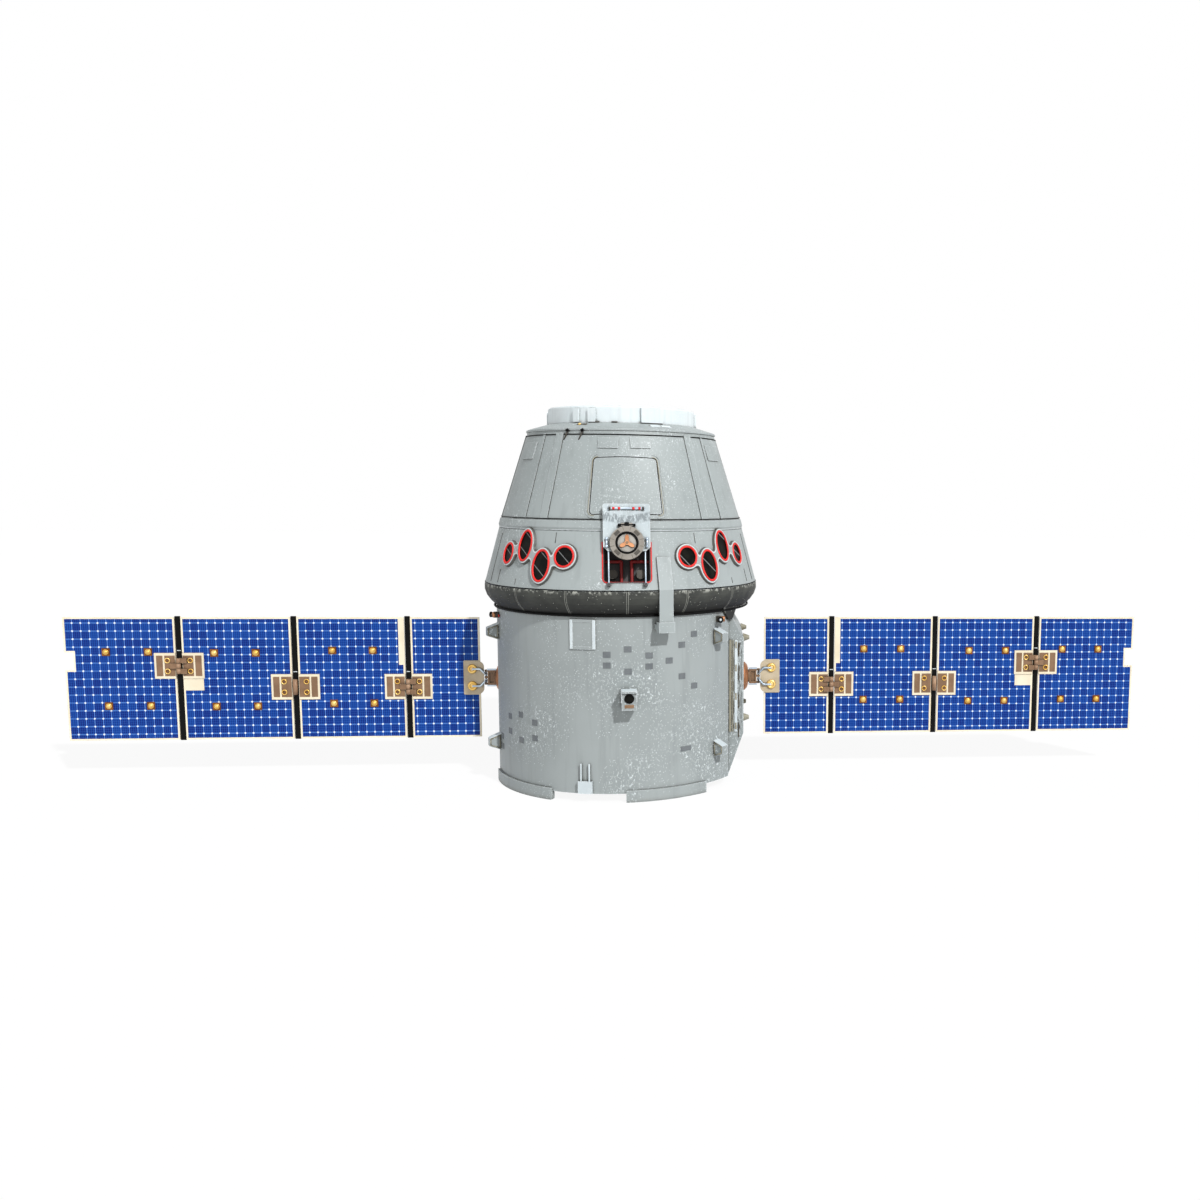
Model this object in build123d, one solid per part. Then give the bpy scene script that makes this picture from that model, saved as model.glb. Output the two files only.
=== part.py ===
from build123d import *

import os
from math import ceil, cos, radians, sin, tan

# Cargo capsule with its trunk and two folding solar wings, standing on the trunk's base segments.
# Millimetres. Origin on the floor below the trunk's axis, X along the wings, the front looks to -Y, Z up.
# Azimuths are degrees round the Z axis, 0 at the front (-Y) and growing towards +X.

# Trunk
trunk_radius = 1850
trunk_wall = 30
trunk_base = 120
trunk_top = 2600
flat_x = trunk_radius - 275
ring_height = 50
ring_depth = 90
frame_heights = (820, 1980)
frame_depth = 55
frame_height = 40
base_bolts = 6
base_bolt_circle = 2 * trunk_radius - 160
base_bolt_radius = 13

# Skirt segments that the vehicle stands on: start and end azimuth
skirt_arcs = ((-74, -28), (5, 42), (124, 150), (158, 205))
skirt_height = 165
skirt_out = 34
skirt_in = 48

# Raised wing bay on the right side of the trunk
bay_x = flat_x + 225
bay_half_width = 930
bay_wall = 26
bay_face_low = 757
bay_face_high = 2154
bay_foot = 125
bay_head = 2560
brace_width = 26
brace_depth = 12
brace_inset = 45
brace_end = 60

# Capsule: wall corners as radius and height
shield_radius = trunk_radius + 156
shield_edge = 2928
shield_swell = 6
shield_foot = trunk_radius + 22
shield_floor = 60
shield_rim = 120
ridge_radius = shield_radius - 251
ridge_z = 3860
bead_radius = ridge_radius - 386
bead_z = 5089
capsule_wall = 34
bead_thickness = 32
ridge_proud = 20
ridge_low = 3735
ridge_high = 3878
shield_segments = 15
seam_width = 10
seam_depth = 9

# The capsule's front is turned a little from the trunk's front
clock = 6.0

# Nose
collar_top = 5215
nose_outer = bead_radius - 299
nose_inner = nose_outer - 140
nose_height = 240
nose_top = collar_top + nose_height
nose_rounding = 30
nose_bolt_circle = nose_outer + nose_inner
nose_bolts = 16
nose_bolt_radius = 14
nose_bolt_depth = 60
port_radius = nose_inner - 290
port_height = 55
nose_block_depth = 34
nose_block_sink = 40

# Latch blocks round the nose ring: azimuth, width, height
latch_blocks = (
    (-31, 90, 190),
    (-18, 110, 190),
    (27, 330, 200),
    (90, 110, 190),
    (150, 300, 200),
    (200, 110, 190),
    (265, 110, 190),
)

# Side hatch in the upper wall
hatch_low = 3958
hatch_high = 4740
hatch_half_low = 500
hatch_half_high = 430
hatch_corner = 60
hatch_gap = 15
hatch_lap = 26
hatch_flange = 22
hatch_seat = 0.4
hatch_axis_out = 14
hatch_axis_in = 12
hatch_pin = 9
hatch_knuckle = 20
hatch_rows = (-0.28, 0.28)
hatch_leaf = 120
hatch_stem = 60
leaf_half = 11
knuckle_tall = 70
ear_gap = 5
ear_thick = 28
ear_reach = 170

# Instrument bay under the sliding plate
niche_half = 315
niche_low = 3044
niche_high = 3640
niche_depth = 330
niche_wall = 12
niche_corner = 60
pipe_x = 70
pipe_rise = 330
pipe_off = 60
pipe_radius = 22
fitting_x = 185
fitting_rise = 150
fitting_radius = 62
fitting_length = 90
plate_low = 3456
plate_high = 4084
plate_half = 314
plate_off = 46
plate_thick = 12
plate_chamfer = 60
bar_radius = 15
bar_length = 470
bar_drop = 68
bar_foot = (34, 44, 24)
bar_foot_x = 225
rod_x = 243
rod_off = 32
rod_radius = 10
rod_low = 3028
rod_high = 3700
rod_block = (46, 40, 64)
collar_outer = 19
collar_heights = (3484, 3640)
collar_length = 44
run_gap = 0.4
rod_block_off = plate_off - rod_block[2] / 2 - run_gap

# Grapple fixture on the plate
fixture_z = 3556
fixture_radius = 228
fixture_thick = 40
fixture_stand = 8
fixture_hub = 144
hub_depth = 14
fixture_foot = 110
fixture_tab = (150, 46, 40)
blade_hub = 34
blade_out = 62
blade_half = (46, 26)
blade_thick = 20

# Thruster pods on the lower wall: azimuth from the pod's front line, height, half width, half height
ports = (
    (25.6, 3376, 132, 136),
    (35.8, 3245, 126, 210),
    (45.8, 3504, 113, 206),
    (56.3, 3386, 106, 136),
)
port_rim = 26
port_lip = 46
pod_proud = 34
rim_proud = 44
glass_proud = 20
pod_cut = 240
pod_bridge = (250, 170)

# Strap from the capsule over the heat shield to the trunk
strap_azimuth = 20.8
strap_width = 192
strap_thick = 30
strap_top = 3385
strap_block_low = 2363
strap_block_high = 2507
strap_block_width = 226
strap_block_depth = 96
strap_block_proud = 14
strap_neck = 40

# Ribs on the upper wall: azimuth from the front, half width, proud. Small plates: azimuth, low, high, half width
rib_rows = (
    (-141, 62, 12),
    (-90, 62, 12),
    (-51.5, 20, 10),
    (-39, 62, 12),
    (39, 62, 12),
    (51.5, 20, 10),
    (90, 62, 12),
    (141, 62, 12),
)
wall_plate_rows = (
    (-9.2, 4853, 4994, 138),
    (8.4, 4858, 5000, 138),
    (-64, 4707, 4941, 175),
    (60, 4720, 4939, 175),
)
wall_plate_proud = 14

# Guide cones round the trunk and hold-down cones on the wing bay
guide_azimuths = (49, 169, 289)
guide_heights = (2225, 600)
guide_proud = 172
guide_width = 150
guide_height = 215
guide_tip = 0.5
holddown_z = (927, 2131)
holddown_y = (-620, 620)
holddown_radius = 62
holddown_proud = 92
holddown_tip = 0.45

# Small things on the trunk
access_azimuth = -12.8
access_low = 2128
access_high = 2536
access_half = 180
access_thick = 16
access_side = 46
access_end = 38
access_sunk = 6
camera_azimuth = 6.3
camera_z = 1452
camera_width = 200
camera_height = 262
camera_depth = 190
hood_lap = 13
hood_thick = 24
lens_rise = 20
lens_radius = 50
lens_length = 44
lens_recess = 30
sensor_azimuth = -12.2
sensor_spacing = 118
sensor_low = 300
sensor_high = 545
sensor_radius = 12
sensor_base_low = 130
sensor_base_width = 196
fitting_azimuths = (50, 170, 290)
fitting_z = 2470

# Wings: driving sizes
boom_z = 1446
wing_start = trunk_radius + 293.6
root_width = 1006.1
panel_width = 1537.8
panel_gap = 93
panel_height = 1824.4
panel_thick = 20
frame_thick = 26
frame_rim = 24
panel_count = 4
fold_pitch = 80
bar_width = 58
bar_thick = 13
bar_over = 16
hinge_zs = (1312, 1317, 1641)
leaf_width = 280
leaf_height = 385
leaf_thick = 8
knuckle_radius = 27
knuckle_height = 230
knuckle_gap = 5
hinge_pin = 9
arm_thick = 24
end_notch_depth = 122
end_notch_low = 1580
end_notch_high = 1842

# Wing root: dome, drive shaft, bracket, fold pin and bent rods
dome_radius = 216
dome_face = bay_x + 95
dome_rim = 38
pocket_x = trunk_radius - 85
pocket_gap = 34
shaft_radius = 55
shaft_end = bay_x - 18
bracket_start = dome_face + 19
bracket_end = bracket_start + 114
bracket_wall = 30
bracket_half = 52
bracket_height = 228
flange_radius = 96
fold_x = bracket_end + 34
fold_pin = 12
lug_radius = 21
lug_height = 30
eye_height = 44
washer_x = wing_start + 113.4
washer_rise = 130
washer_radius = 48
washer_thick = 16
root_rod = 10
root_plate_in = wing_start - 52.6
root_plate_out = wing_start + 238.4
root_plate_low = 1193
root_plate_high = 1692
root_plate_thick = 12
root_plate_bulge = 90

os.makedirs("parts", exist_ok=True)
on_end = (Align.CENTER, Align.CENTER, Align.MIN)

lean_upper = Vector(bead_radius - ridge_radius, bead_z - ridge_z, 0).get_angle(Vector(0, 1, 0))
lean_lower = Vector(ridge_radius - shield_radius, ridge_z - shield_edge, 0).get_angle(Vector(0, 1, 0))


def wall_radius(height):
    """Outer radius of the capsule wall at a height."""
    if height > ridge_z:
        return ridge_radius - (height - ridge_z) * tan(radians(lean_upper))
    return ridge_radius + (ridge_z - height) * tan(radians(lean_lower))


def save(node, *shapes):
    """Write one node, of one or more solids that don't touch."""
    solids = [solid for shape in shapes for solid in shape.solids()]
    export_step(solids[0] if len(solids) == 1 else Compound(children=solids), f"parts/{node}.step")


def turned(*points):
    """Solid of revolution about Z, from corners given as radius and height."""
    outline = Polyline(*[(radius, 0, height) for radius, height in points], close=True)
    return revolve(make_face(outline), axis=Axis.Z)


def spot(azimuth, radius, height, lean=0.0):
    """Plane on a wall: x to the right, y up the wall, z outwards."""
    turn, tip = radians(azimuth), radians(lean)
    return Plane(
        origin=(radius * sin(turn), -radius * cos(turn), height),
        x_dir=(cos(turn), sin(turn), 0),
        z_dir=(sin(turn) * cos(tip), -cos(turn) * cos(tip), sin(tip)),
    )


def wedge(start, end, low, high, reach=3200):
    """Sector of a round body between two azimuths."""
    steps = ceil((end - start) / 45)
    turns = [radians(start + (end - start) * i / steps) for i in range(steps + 1)]
    corners = [(0, 0, low)] + [(reach * sin(a), -reach * cos(a), low) for a in turns]
    return extrude(make_face(Polyline(*corners, close=True)), amount=high - low, dir=(0, 0, 1))


def slab(low, high):
    """Box from its lowest to its highest corner."""
    size = [b - a for a, b in zip(low, high)]
    middle = [(a + b) / 2 for a, b in zip(low, high)]
    return Pos(*middle) * Box(*size)


def rod(start, end, radius):
    """Round bar between two points."""
    along = Vector(*end) - Vector(*start)
    return Plane(origin=start, z_dir=along) * Cylinder(radius, along.length, align=on_end)


def bent_rod(points, radius):
    """Round bar through several points, rounded at the bends."""
    whole = Part()
    for start, end in zip(points, points[1:]):
        whole += rod(start, end, radius)
    for point in points[1:-1]:
        whole += Pos(*point) * Sphere(radius)
    return whole


def block(plane, width, height, depth, sink=0.0, shift=(0, 0)):
    """Box that stands on a wall plane, from sink below it to depth above it."""
    return plane * Pos(shift[0], shift[1], (depth - sink) / 2) * Box(width, height, depth + sink)


def shell_layer(low, high, outer_off, inner_off):
    """Thin layer of the capsule wall between two heights, measured outwards from the wall's face."""
    heights = [low] + [ridge_z] * (low < ridge_z < high) + [high]
    outside = [(wall_radius(z) + outer_off, z) for z in heights]
    inside = [(wall_radius(z) + inner_off, z) for z in reversed(heights)]
    return turned(*outside, *inside)


# Trunk wall with its flat, its left drive pocket and its end rings
core = Pos(0, 0, trunk_base) * Cylinder(
    trunk_radius, trunk_top - trunk_base, align=on_end
)
beyond = 2 * trunk_radius
right_of_flat = slab((flat_x, -beyond, 0), (beyond, beyond, 2 * trunk_top))
right_of_inside = slab((flat_x - trunk_wall, -beyond, 0), (beyond, beyond, 2 * trunk_top))


def inside_of_trunk(radius, low, high):
    """Round core of the trunk's inside, with the flat taken off."""
    disc = Pos(0, 0, low) * Cylinder(radius, high - low, align=on_end)
    return disc - right_of_inside


trunk = core - right_of_flat - inside_of_trunk(trunk_radius - trunk_wall, trunk_base, trunk_top)
for ring_low in (trunk_base, trunk_top - ring_height):
    ring_top = ring_low + ring_height
    ring = inside_of_trunk(trunk_radius - trunk_wall, ring_low, ring_top)
    trunk += ring - inside_of_trunk(trunk_radius - ring_depth - trunk_wall, ring_low, ring_top)
cup_radius = dome_radius + pocket_gap + trunk_wall
cup = rod((-pocket_x + trunk_wall, 0, boom_z), (-trunk_radius - 20, 0, boom_z), cup_radius)
trunk += cup & core
trunk -= rod((-pocket_x, 0, boom_z), (-trunk_radius - 60, 0, boom_z), dome_radius + pocket_gap)

# Bolt holes in the base ring, where the vehicle is carried
for i in range(base_bolts):
    place = spot(360 / base_bolts * i, base_bolt_circle / 2, trunk_base)
    trunk -= Pos(place.origin) * Cylinder(base_bolt_radius, 4 * ring_height)
save("trunk_wall", trunk)

frames = []
for height in frame_heights:
    outer = inside_of_trunk(trunk_radius - trunk_wall, height, height + frame_height)
    hoop = outer - Pos(0, 0, height) * Cylinder(
        trunk_radius - trunk_wall - frame_depth, 3 * frame_height
    )
    hoop -= slab((flat_x - trunk_wall - frame_depth, -900, 0), (beyond, 900, 2 * trunk_top))
    frames.append(hoop)
save("trunk_frames", *frames)

# Skirt segments, lapped round the wall's foot
skirt_outer = trunk_radius + skirt_out
skirts = []
for start, end in skirt_arcs:
    band = turned(
        (trunk_radius - skirt_in, 0),
        (skirt_outer, 0),
        (skirt_outer, skirt_height),
        (trunk_radius, skirt_height),
        (trunk_radius, trunk_base),
        (trunk_radius - skirt_in, trunk_base),
    )
    band = band & wedge(start, end, -10, skirt_height + 10)
    skirts.append(band)
save("skirt_segments", *skirts)

# Raised wing bay on the flat, hollow towards the trunk, with crossed braces on its end walls
bay_outline = ((flat_x, bay_foot), (bay_x, bay_face_low), (bay_x, bay_face_high), (flat_x, bay_head))


def bay_prism(outline, half):
    corners = [(x, -half, z) for x, z in outline]
    return extrude(make_face(Polyline(*corners, close=True)), amount=2 * half, dir=(0, 1, 0))


bay_inside = (
    (flat_x - 1, bay_foot + 2.6 * bay_wall),
    (bay_x - bay_wall, bay_face_low + bay_wall / 2),
    (bay_x - bay_wall, bay_face_high - bay_wall / 2),
    (flat_x - 1, bay_head - 2.6 * bay_wall),
)
bay = bay_prism(bay_outline, bay_half_width) - bay_prism(bay_inside, bay_half_width - bay_wall)
brace_low, brace_high = bay_face_low + brace_end, bay_face_high - brace_end
brace_left, brace_right = flat_x + brace_inset, bay_x - bay_wall
for side in (-1, 1):
    wall_y = side * bay_half_width
    recess = slab(
        (brace_left, wall_y - brace_depth, brace_low), (brace_right, wall_y + brace_depth, brace_high)
    )
    rails = []
    for count in range(2):
        low_z = brace_low + (brace_high - brace_low) / 2 * count
        high_z = low_z + (brace_high - brace_low) / 2
        for first, last in ((brace_left, brace_right), (brace_right, brace_left)):
            along = Vector(last - first, 0, high_z - low_z)
            middle = ((first + last) / 2, wall_y, (low_z + high_z) / 2)
            lay = Plane(origin=middle, x_dir=along, z_dir=(0, 1, 0))
            rails.append(lay * Box(along.length + brace_width, brace_width, 3 * brace_depth))
    for rail in rails:
        recess -= rail
    bay -= recess
save("wing_bay", bay)

holddowns = []
for y in holddown_y:
    for z in holddown_z:
        foot = Plane(origin=(bay_x, y, z), z_dir=(1, 0, 0))
        holddowns.append(
            foot * Cone(holddown_radius, holddown_radius * holddown_tip, holddown_proud, align=on_end)
        )
save("hold_down_cones", *holddowns)

# Guide cones: blunt pyramids with a wide foot on the wall
guides = []
for azimuth in guide_azimuths:
    for height in guide_heights:
        foot = spot(azimuth, trunk_radius, height)
        base = foot * Pos(0, 0, -12) * Rectangle(guide_width, guide_height)
        tip = foot * Pos(0, 8, guide_proud) * Rectangle(guide_width * guide_tip, guide_height * guide_tip)
        guides.append(loft([base.face(), tip.face()]) - core)
save("guide_cones", *guides)

# Riveted access panel, camera, sensor rods and the fittings at the trunk's top edge
access_mid = (access_low + access_high) / 2
access_place = spot(access_azimuth, trunk_radius, access_mid)
access = turned(
    (trunk_radius, access_low), (trunk_radius + access_thick, access_low),
    (trunk_radius + access_thick, access_high), (trunk_radius, access_high),
)
access &= block(access_place, 2 * access_half, access_high - access_low, 200, sink=200)
inner_width, inner_height = 2 * (access_half - access_side), access_high - access_low - 2 * access_end
sunk_face = trunk_radius + access_thick - access_sunk
access -= block(access_place, inner_width, inner_height, 200, sink=200) & turned(
    (sunk_face, access_low),
    (sunk_face + 60, access_low),
    (sunk_face + 60, access_high),
    (sunk_face, access_high),
)
save("access_panel", access)

camera_place = spot(camera_azimuth, trunk_radius, camera_z)
camera = block(camera_place, camera_width, camera_height, camera_depth, sink=12) - core
camera += camera_place * Pos(0, (camera_height - hood_thick) / 2, (camera_depth + hood_thick) / 2) * Box(
    camera_width + 2 * hood_lap, hood_thick, camera_depth + hood_thick
) - core
camera -= camera_place * Pos(0, lens_rise, camera_depth) * Cylinder(lens_radius + 8, 2 * lens_recess)
save("camera_box", camera)
lens = camera_place * Pos(0, lens_rise, camera_depth - lens_recess) * Cylinder(
    lens_radius, lens_length, align=(Align.CENTER, Align.CENTER, Align.MIN)
)
save("camera_lens", lens)

sensor_place = spot(sensor_azimuth, trunk_radius, 0)
sensor = sensor_place * Pos(0, (sensor_base_low + sensor_low) / 2, 22) * Box(
    sensor_base_width, sensor_low - sensor_base_low, 56
)
for side in (-1, 1):
    foot_x = side * sensor_spacing / 2
    sensor += sensor_place * rod((foot_x, sensor_low - 30, 30), (foot_x, sensor_high, 30), sensor_radius)
save("sensor_rods", sensor - Cylinder(trunk_radius, trunk_top, align=on_end))

fittings = []
for azimuth in fitting_azimuths:
    place = spot(azimuth, trunk_radius, fitting_z)
    piece = block(place, 66, 84, 62, sink=12)
    piece += place * Pos(38, 6, 32) * Rot(0, 90, 0) * Cylinder(26, 60)
    fittings.append(piece - core)
save("edge_fittings", *fittings)

# Heat shield: a closed dish with a swollen rim, in segments
shield = turned(
    (0, trunk_top),
    (shield_foot - 14, trunk_top),
    (shield_foot, trunk_top + 18),
    (shield_foot + 58, trunk_top + 74),
    (shield_radius - 22, trunk_top + 150),
    (shield_radius + shield_swell, trunk_top + 232),
    (shield_radius + shield_swell, shield_edge - 30),
    (shield_radius, shield_edge),
    (shield_radius - shield_rim, shield_edge),
    (shield_foot - shield_rim, trunk_top + shield_floor),
    (0, trunk_top + shield_floor),
)
for i in range(shield_segments):
    seam = spot(clock + 360 / shield_segments * i, shield_radius - 60, (trunk_top + shield_edge) / 2)
    groove = block(seam, seam_width, shield_edge - trunk_top - 24, 120)
    shield -= groove & (
        turned((shield_foot, trunk_top), (2400, trunk_top), (2400, shield_edge), (shield_foot, shield_edge))
        - turned(
            (0, trunk_top - 1),
            (shield_foot - seam_depth, trunk_top - 1),
            (shield_foot + 58 - seam_depth, trunk_top + 74),
            (shield_radius - 22 - seam_depth, trunk_top + 150),
            (shield_radius + shield_swell - seam_depth, trunk_top + 232),
            (shield_radius + shield_swell - seam_depth, shield_edge + 1),
            (0, shield_edge + 1),
        )
    )
save("heat_shield", shield)

# Capsule walls
lower = shell_layer(shield_edge, ridge_z, 0, -capsule_wall)
upper = shell_layer(ridge_z, bead_z, 0, -capsule_wall)

niche_mid = (niche_low + niche_high) / 2
front_lower = spot(clock, wall_radius(niche_mid), niche_mid, lean_lower)
niche_tall = (niche_high - niche_low) / cos(radians(lean_lower))
niche_mouth = RectangleRounded(2 * niche_half, niche_tall, niche_corner)
lower -= front_lower * Pos(0, 0, -200) * extrude(niche_mouth, amount=320)

hatch_mid = (hatch_low + hatch_high) / 2
hatch_tall = (hatch_high - hatch_low) / cos(radians(lean_upper))
hatch_place = spot(clock, wall_radius(hatch_mid), hatch_mid, lean_upper)


def hatch_outline(grow):
    """Tapered outline of the hatch, grown on all sides, with round corners."""
    half = hatch_tall / 2 + grow
    low_half, high_half = hatch_half_low + grow, hatch_half_high + grow
    corners = ((-low_half, -half), (low_half, -half), (high_half, half), (-high_half, half))
    face = make_face(Polyline(*corners, close=True))
    return fillet(face.vertices(), hatch_corner + grow)


hatch_hole = hatch_place * Pos(0, 0, -260) * extrude(hatch_outline(0), amount=420)
upper -= hatch_hole
save("capsule_lower_wall", lower)

# The hatch swings inwards: its flange seats behind the wall, its pin stands on the wall's inner face
plug = hatch_place * Pos(0, 0, -260) * extrude(hatch_outline(-hatch_gap), amount=420)
flange = hatch_place * Pos(0, 0, -300) * extrude(hatch_outline(hatch_lap), amount=420)
hatch = shell_layer(ridge_z + 20, bead_z - 20, 0, -capsule_wall - hatch_seat - hatch_flange) & plug
seat_off = -capsule_wall - hatch_seat
hatch += shell_layer(ridge_z + 20, bead_z - 20, seat_off, seat_off - hatch_flange) & flange
axis_x = -(hatch_half_low + hatch_lap + hatch_axis_out + hatch_knuckle)
edge_drop = wall_radius(hatch_low) - (wall_radius(hatch_low) ** 2 - axis_x**2) ** 0.5
axis_z = -(edge_drop + capsule_wall + hatch_knuckle + hatch_axis_in)
for row in hatch_rows:
    row_y = row * hatch_tall
    pin_line = hatch_place * Pos(axis_x, row_y, axis_z) * Rot(90, 0, 0)
    barrel = pin_line * Cylinder(hatch_knuckle, knuckle_tall)
    leaf_end = -hatch_half_low + hatch_leaf
    leaf = hatch_place * slab(
        (axis_x, row_y - knuckle_tall / 2, axis_z - leaf_half),
        (leaf_end, row_y + knuckle_tall / 2, axis_z + leaf_half),
    )
    stem = hatch_place * slab(
        (leaf_end - hatch_stem, row_y - knuckle_tall / 2, axis_z - leaf_half),
        (leaf_end, row_y + knuckle_tall / 2, -capsule_wall - ear_thick),
    )
    stem &= shell_layer(ridge_z + 20, bead_z - 20, -capsule_wall - 8, -capsule_wall - 500)
    hatch += (barrel + leaf + stem) - pin_line * Cylinder(hatch_pin + run_gap, 2 * knuckle_tall)
    for side in (-1, 1):
        ear_y = row_y + side * (knuckle_tall / 2 + ear_gap + ear_thick / 2)
        ear = hatch_place * Pos(axis_x, ear_y, axis_z) * Rot(90, 0, 0) * Cylinder(hatch_knuckle, ear_thick)
        ear += hatch_place * slab(
            (axis_x - hatch_knuckle, ear_y - ear_thick / 2, axis_z),
            (axis_x + hatch_knuckle - 6, ear_y + ear_thick / 2, axis_z + ear_reach),
        )
        upper += ear & shell_layer(ridge_z + 20, bead_z - 20, -capsule_wall + 6, -capsule_wall - 500)
    upper += pin_line * Cylinder(hatch_pin, knuckle_tall + 2 * ear_thick)
save("capsule_upper_wall", upper)
save("side_hatch", hatch)

# Ridge band and bead ring round the capsule
ridge = turned(
    (wall_radius(ridge_low), ridge_low),
    (wall_radius(ridge_low + 40) + ridge_proud, ridge_low + 40),
    (wall_radius(ridge_high - 20) + ridge_proud, ridge_high - 20),
    (wall_radius(ridge_high), ridge_high),
    (ridge_radius, ridge_z),
)
save("ridge_band", ridge)

# Forward deck: bead, sloping collar and the plate that carries the nose ring
deck = turned(
    (0, bead_z),
    (bead_radius, bead_z),
    (bead_radius + bead_thickness / 2, bead_z + 10),
    (bead_radius + bead_thickness / 2, bead_z + bead_thickness),
    (bead_radius - 10, bead_z + bead_thickness + 14),
    (nose_outer + 20, collar_top),
    (0, collar_top),
)
deck -= turned((0, bead_z - 1), (nose_inner, bead_z - 1), (nose_inner, collar_top - 40), (0, collar_top - 40))
save("forward_deck", deck)

nose = turned(
    (nose_inner, collar_top), (nose_outer, collar_top), (nose_outer, nose_top), (nose_inner, nose_top)
)
top_rims = nose.edges().filter_by(GeomType.CIRCLE).group_by(Axis.Z)[-1]
nose = fillet([rim for rim in top_rims if abs(rim.radius - nose_outer) < 1], nose_rounding)
for i in range(nose_bolts):
    place = spot(360 / nose_bolts * (i + 0.5), nose_bolt_circle / 2, nose_top)
    nose -= Pos(place.origin) * Cylinder(nose_bolt_radius, 2 * nose_bolt_depth)
save("nose_ring", nose)
save("nose_port", Pos(0, 0, collar_top) * Cylinder(port_radius, port_height, align=on_end))

blocks = []
for azimuth, width, tall in latch_blocks:
    place = spot(azimuth, nose_outer, collar_top + tall / 2 + 10)
    piece = block(place, width, tall, nose_block_depth, sink=nose_block_sink)
    blocks.append(piece - Cylinder(nose_outer, 3 * nose_top))
save("nose_blocks", *blocks)

# Thruster pods: raised housings that follow the wall, red rims and dark glass
housings, rims, glasses = [], [], []
for pod_front in (0, 180):
    for side in (-1, 1):
        body, rim_set, glass_set = Part(), Part(), Part()
        places = []
        for port_turn, height, half_wide, half_tall in ports:
            azimuth = pod_front + clock + side * port_turn
            place = spot(azimuth, wall_radius(height), height, lean_lower)
            places.append((azimuth, height))
            cut = place * Pos(0, 0, -pod_cut / 2)
            body += cut * extrude(Ellipse(half_wide + port_lip, half_tall + port_lip), amount=pod_cut)
            rim_set += cut * extrude(Ellipse(half_wide + port_rim, half_tall + port_rim), amount=pod_cut)
            glass_set += cut * extrude(Ellipse(half_wide, half_tall), amount=pod_cut)
        for (first, low_z), (last, high_z) in zip(places, places[1:]):
            mid_z = (low_z + high_z) / 2
            body += spot((first + last) / 2, wall_radius(mid_z), mid_z, lean_lower) * Box(*pod_bridge, pod_cut)
        skin = shell_layer(shield_edge + 6, ridge_low - 6, pod_proud, 0)
        rim_skin = shell_layer(shield_edge + 6, ridge_low - 6, rim_proud, 0)
        glass_skin = shell_layer(shield_edge + 6, ridge_low - 6, glass_proud, 0)
        housings.append((skin & body) - rim_set)
        rims.append((rim_skin & rim_set) - glass_set)
        glasses.append(glass_skin & glass_set)
save("pod_housings", *housings)
save("pod_rims", *rims)
save("pod_glass", *glasses)

# Instrument bay behind the plate: a box let into the lower wall, with pipes and two round fittings
liner_outer = RectangleRounded(2 * niche_half, niche_tall, niche_corner)
liner_inner = offset(liner_outer, amount=-niche_wall)
liner = front_lower * Pos(0, 0, -niche_depth) * extrude(liner_outer, amount=niche_depth + 60)
liner -= front_lower * Pos(0, 0, -niche_depth + niche_wall) * extrude(liner_inner, amount=niche_depth + 60)
liner &= shell_layer(shield_edge, ridge_z, 10, -niche_depth - 200)
save("instrument_bay", liner)

inner_floor = -niche_depth + niche_wall
low_y = -niche_tall / 2 + niche_wall
pipes = Part()
for side in (-1, 1):
    route = (
        (side * pipe_x, low_y + 0.3, inner_floor + pipe_off),
        (side * pipe_x, low_y + pipe_rise, inner_floor + pipe_off),
        (side * (niche_half - niche_wall - 0.3), low_y + pipe_rise, inner_floor + pipe_off),
    )
    pipes += front_lower * bent_rod(route, pipe_radius)
save("bay_pipes", pipes)
domes = []
for side in (-1, 1):
    seat = front_lower * Pos(side * fitting_x, low_y + fitting_rise, inner_floor)
    domes.append(seat * Cylinder(fitting_radius, fitting_length, align=on_end))
save("bay_fittings", *domes)

# Guide rods of the sliding plate, held in blocks on the wall

def up_slope(height):
    """Distance up the lower wall's slope from the instrument bay's middle."""
    return (height - niche_mid) / cos(radians(lean_lower))


guide_rods = []
for side in (-1, 1):
    x = side * rod_x
    rail = front_lower * rod((x, up_slope(rod_low), rod_off), (x, up_slope(rod_high), rod_off), rod_radius)
    top_block = front_lower * Pos(x, up_slope(rod_high) + 8, rod_block_off) * Box(*rod_block)
    foot_block = front_lower * Pos(x, up_slope(niche_low) - 23, rod_block_off) * Box(*rod_block)
    rail += (top_block + foot_block) - turned(
        (0, shield_edge), (wall_radius(shield_edge), shield_edge), (wall_radius(ridge_z), ridge_z), (0, ridge_z)
    )
    guide_rods.append(rail)
save("guide_rods", *guide_rods)

# Sliding plate with its collars, top bar and the grapple fixture
plate_mid = up_slope((plate_low + plate_high) / 2)
plate_tall = (plate_high - plate_low) / cos(radians(lean_lower))
plate_face = Rectangle(2 * plate_half, plate_tall)
plate_face = chamfer(plate_face.vertices().group_by(Axis.Y)[0], plate_chamfer)
plate_face = fillet(plate_face.vertices().group_by(Axis.Y)[-1], 30)
plate = front_lower * Pos(0, plate_mid, plate_off) * extrude(plate_face, amount=plate_thick)
for side in (-1, 1):
    for height in collar_heights:
        middle_y = up_slope(height)
        bore_line = front_lower * Pos(side * rod_x, middle_y, rod_off) * Rot(90, 0, 0)
        collar = bore_line * Cylinder(collar_outer, collar_length)
        collar += front_lower * Pos(side * rod_x, middle_y, (rod_off + plate_off) / 2 + 4) * Box(
            2 * collar_outer, collar_length, plate_off - rod_off + 4
        )
        collar -= bore_line * Cylinder(rod_radius + run_gap, 2 * collar_length)
        plate += collar - (front_lower * Pos(0, plate_mid, plate_off + 40) * Box(900, 900, 80))
save("sliding_plate", plate)

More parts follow.
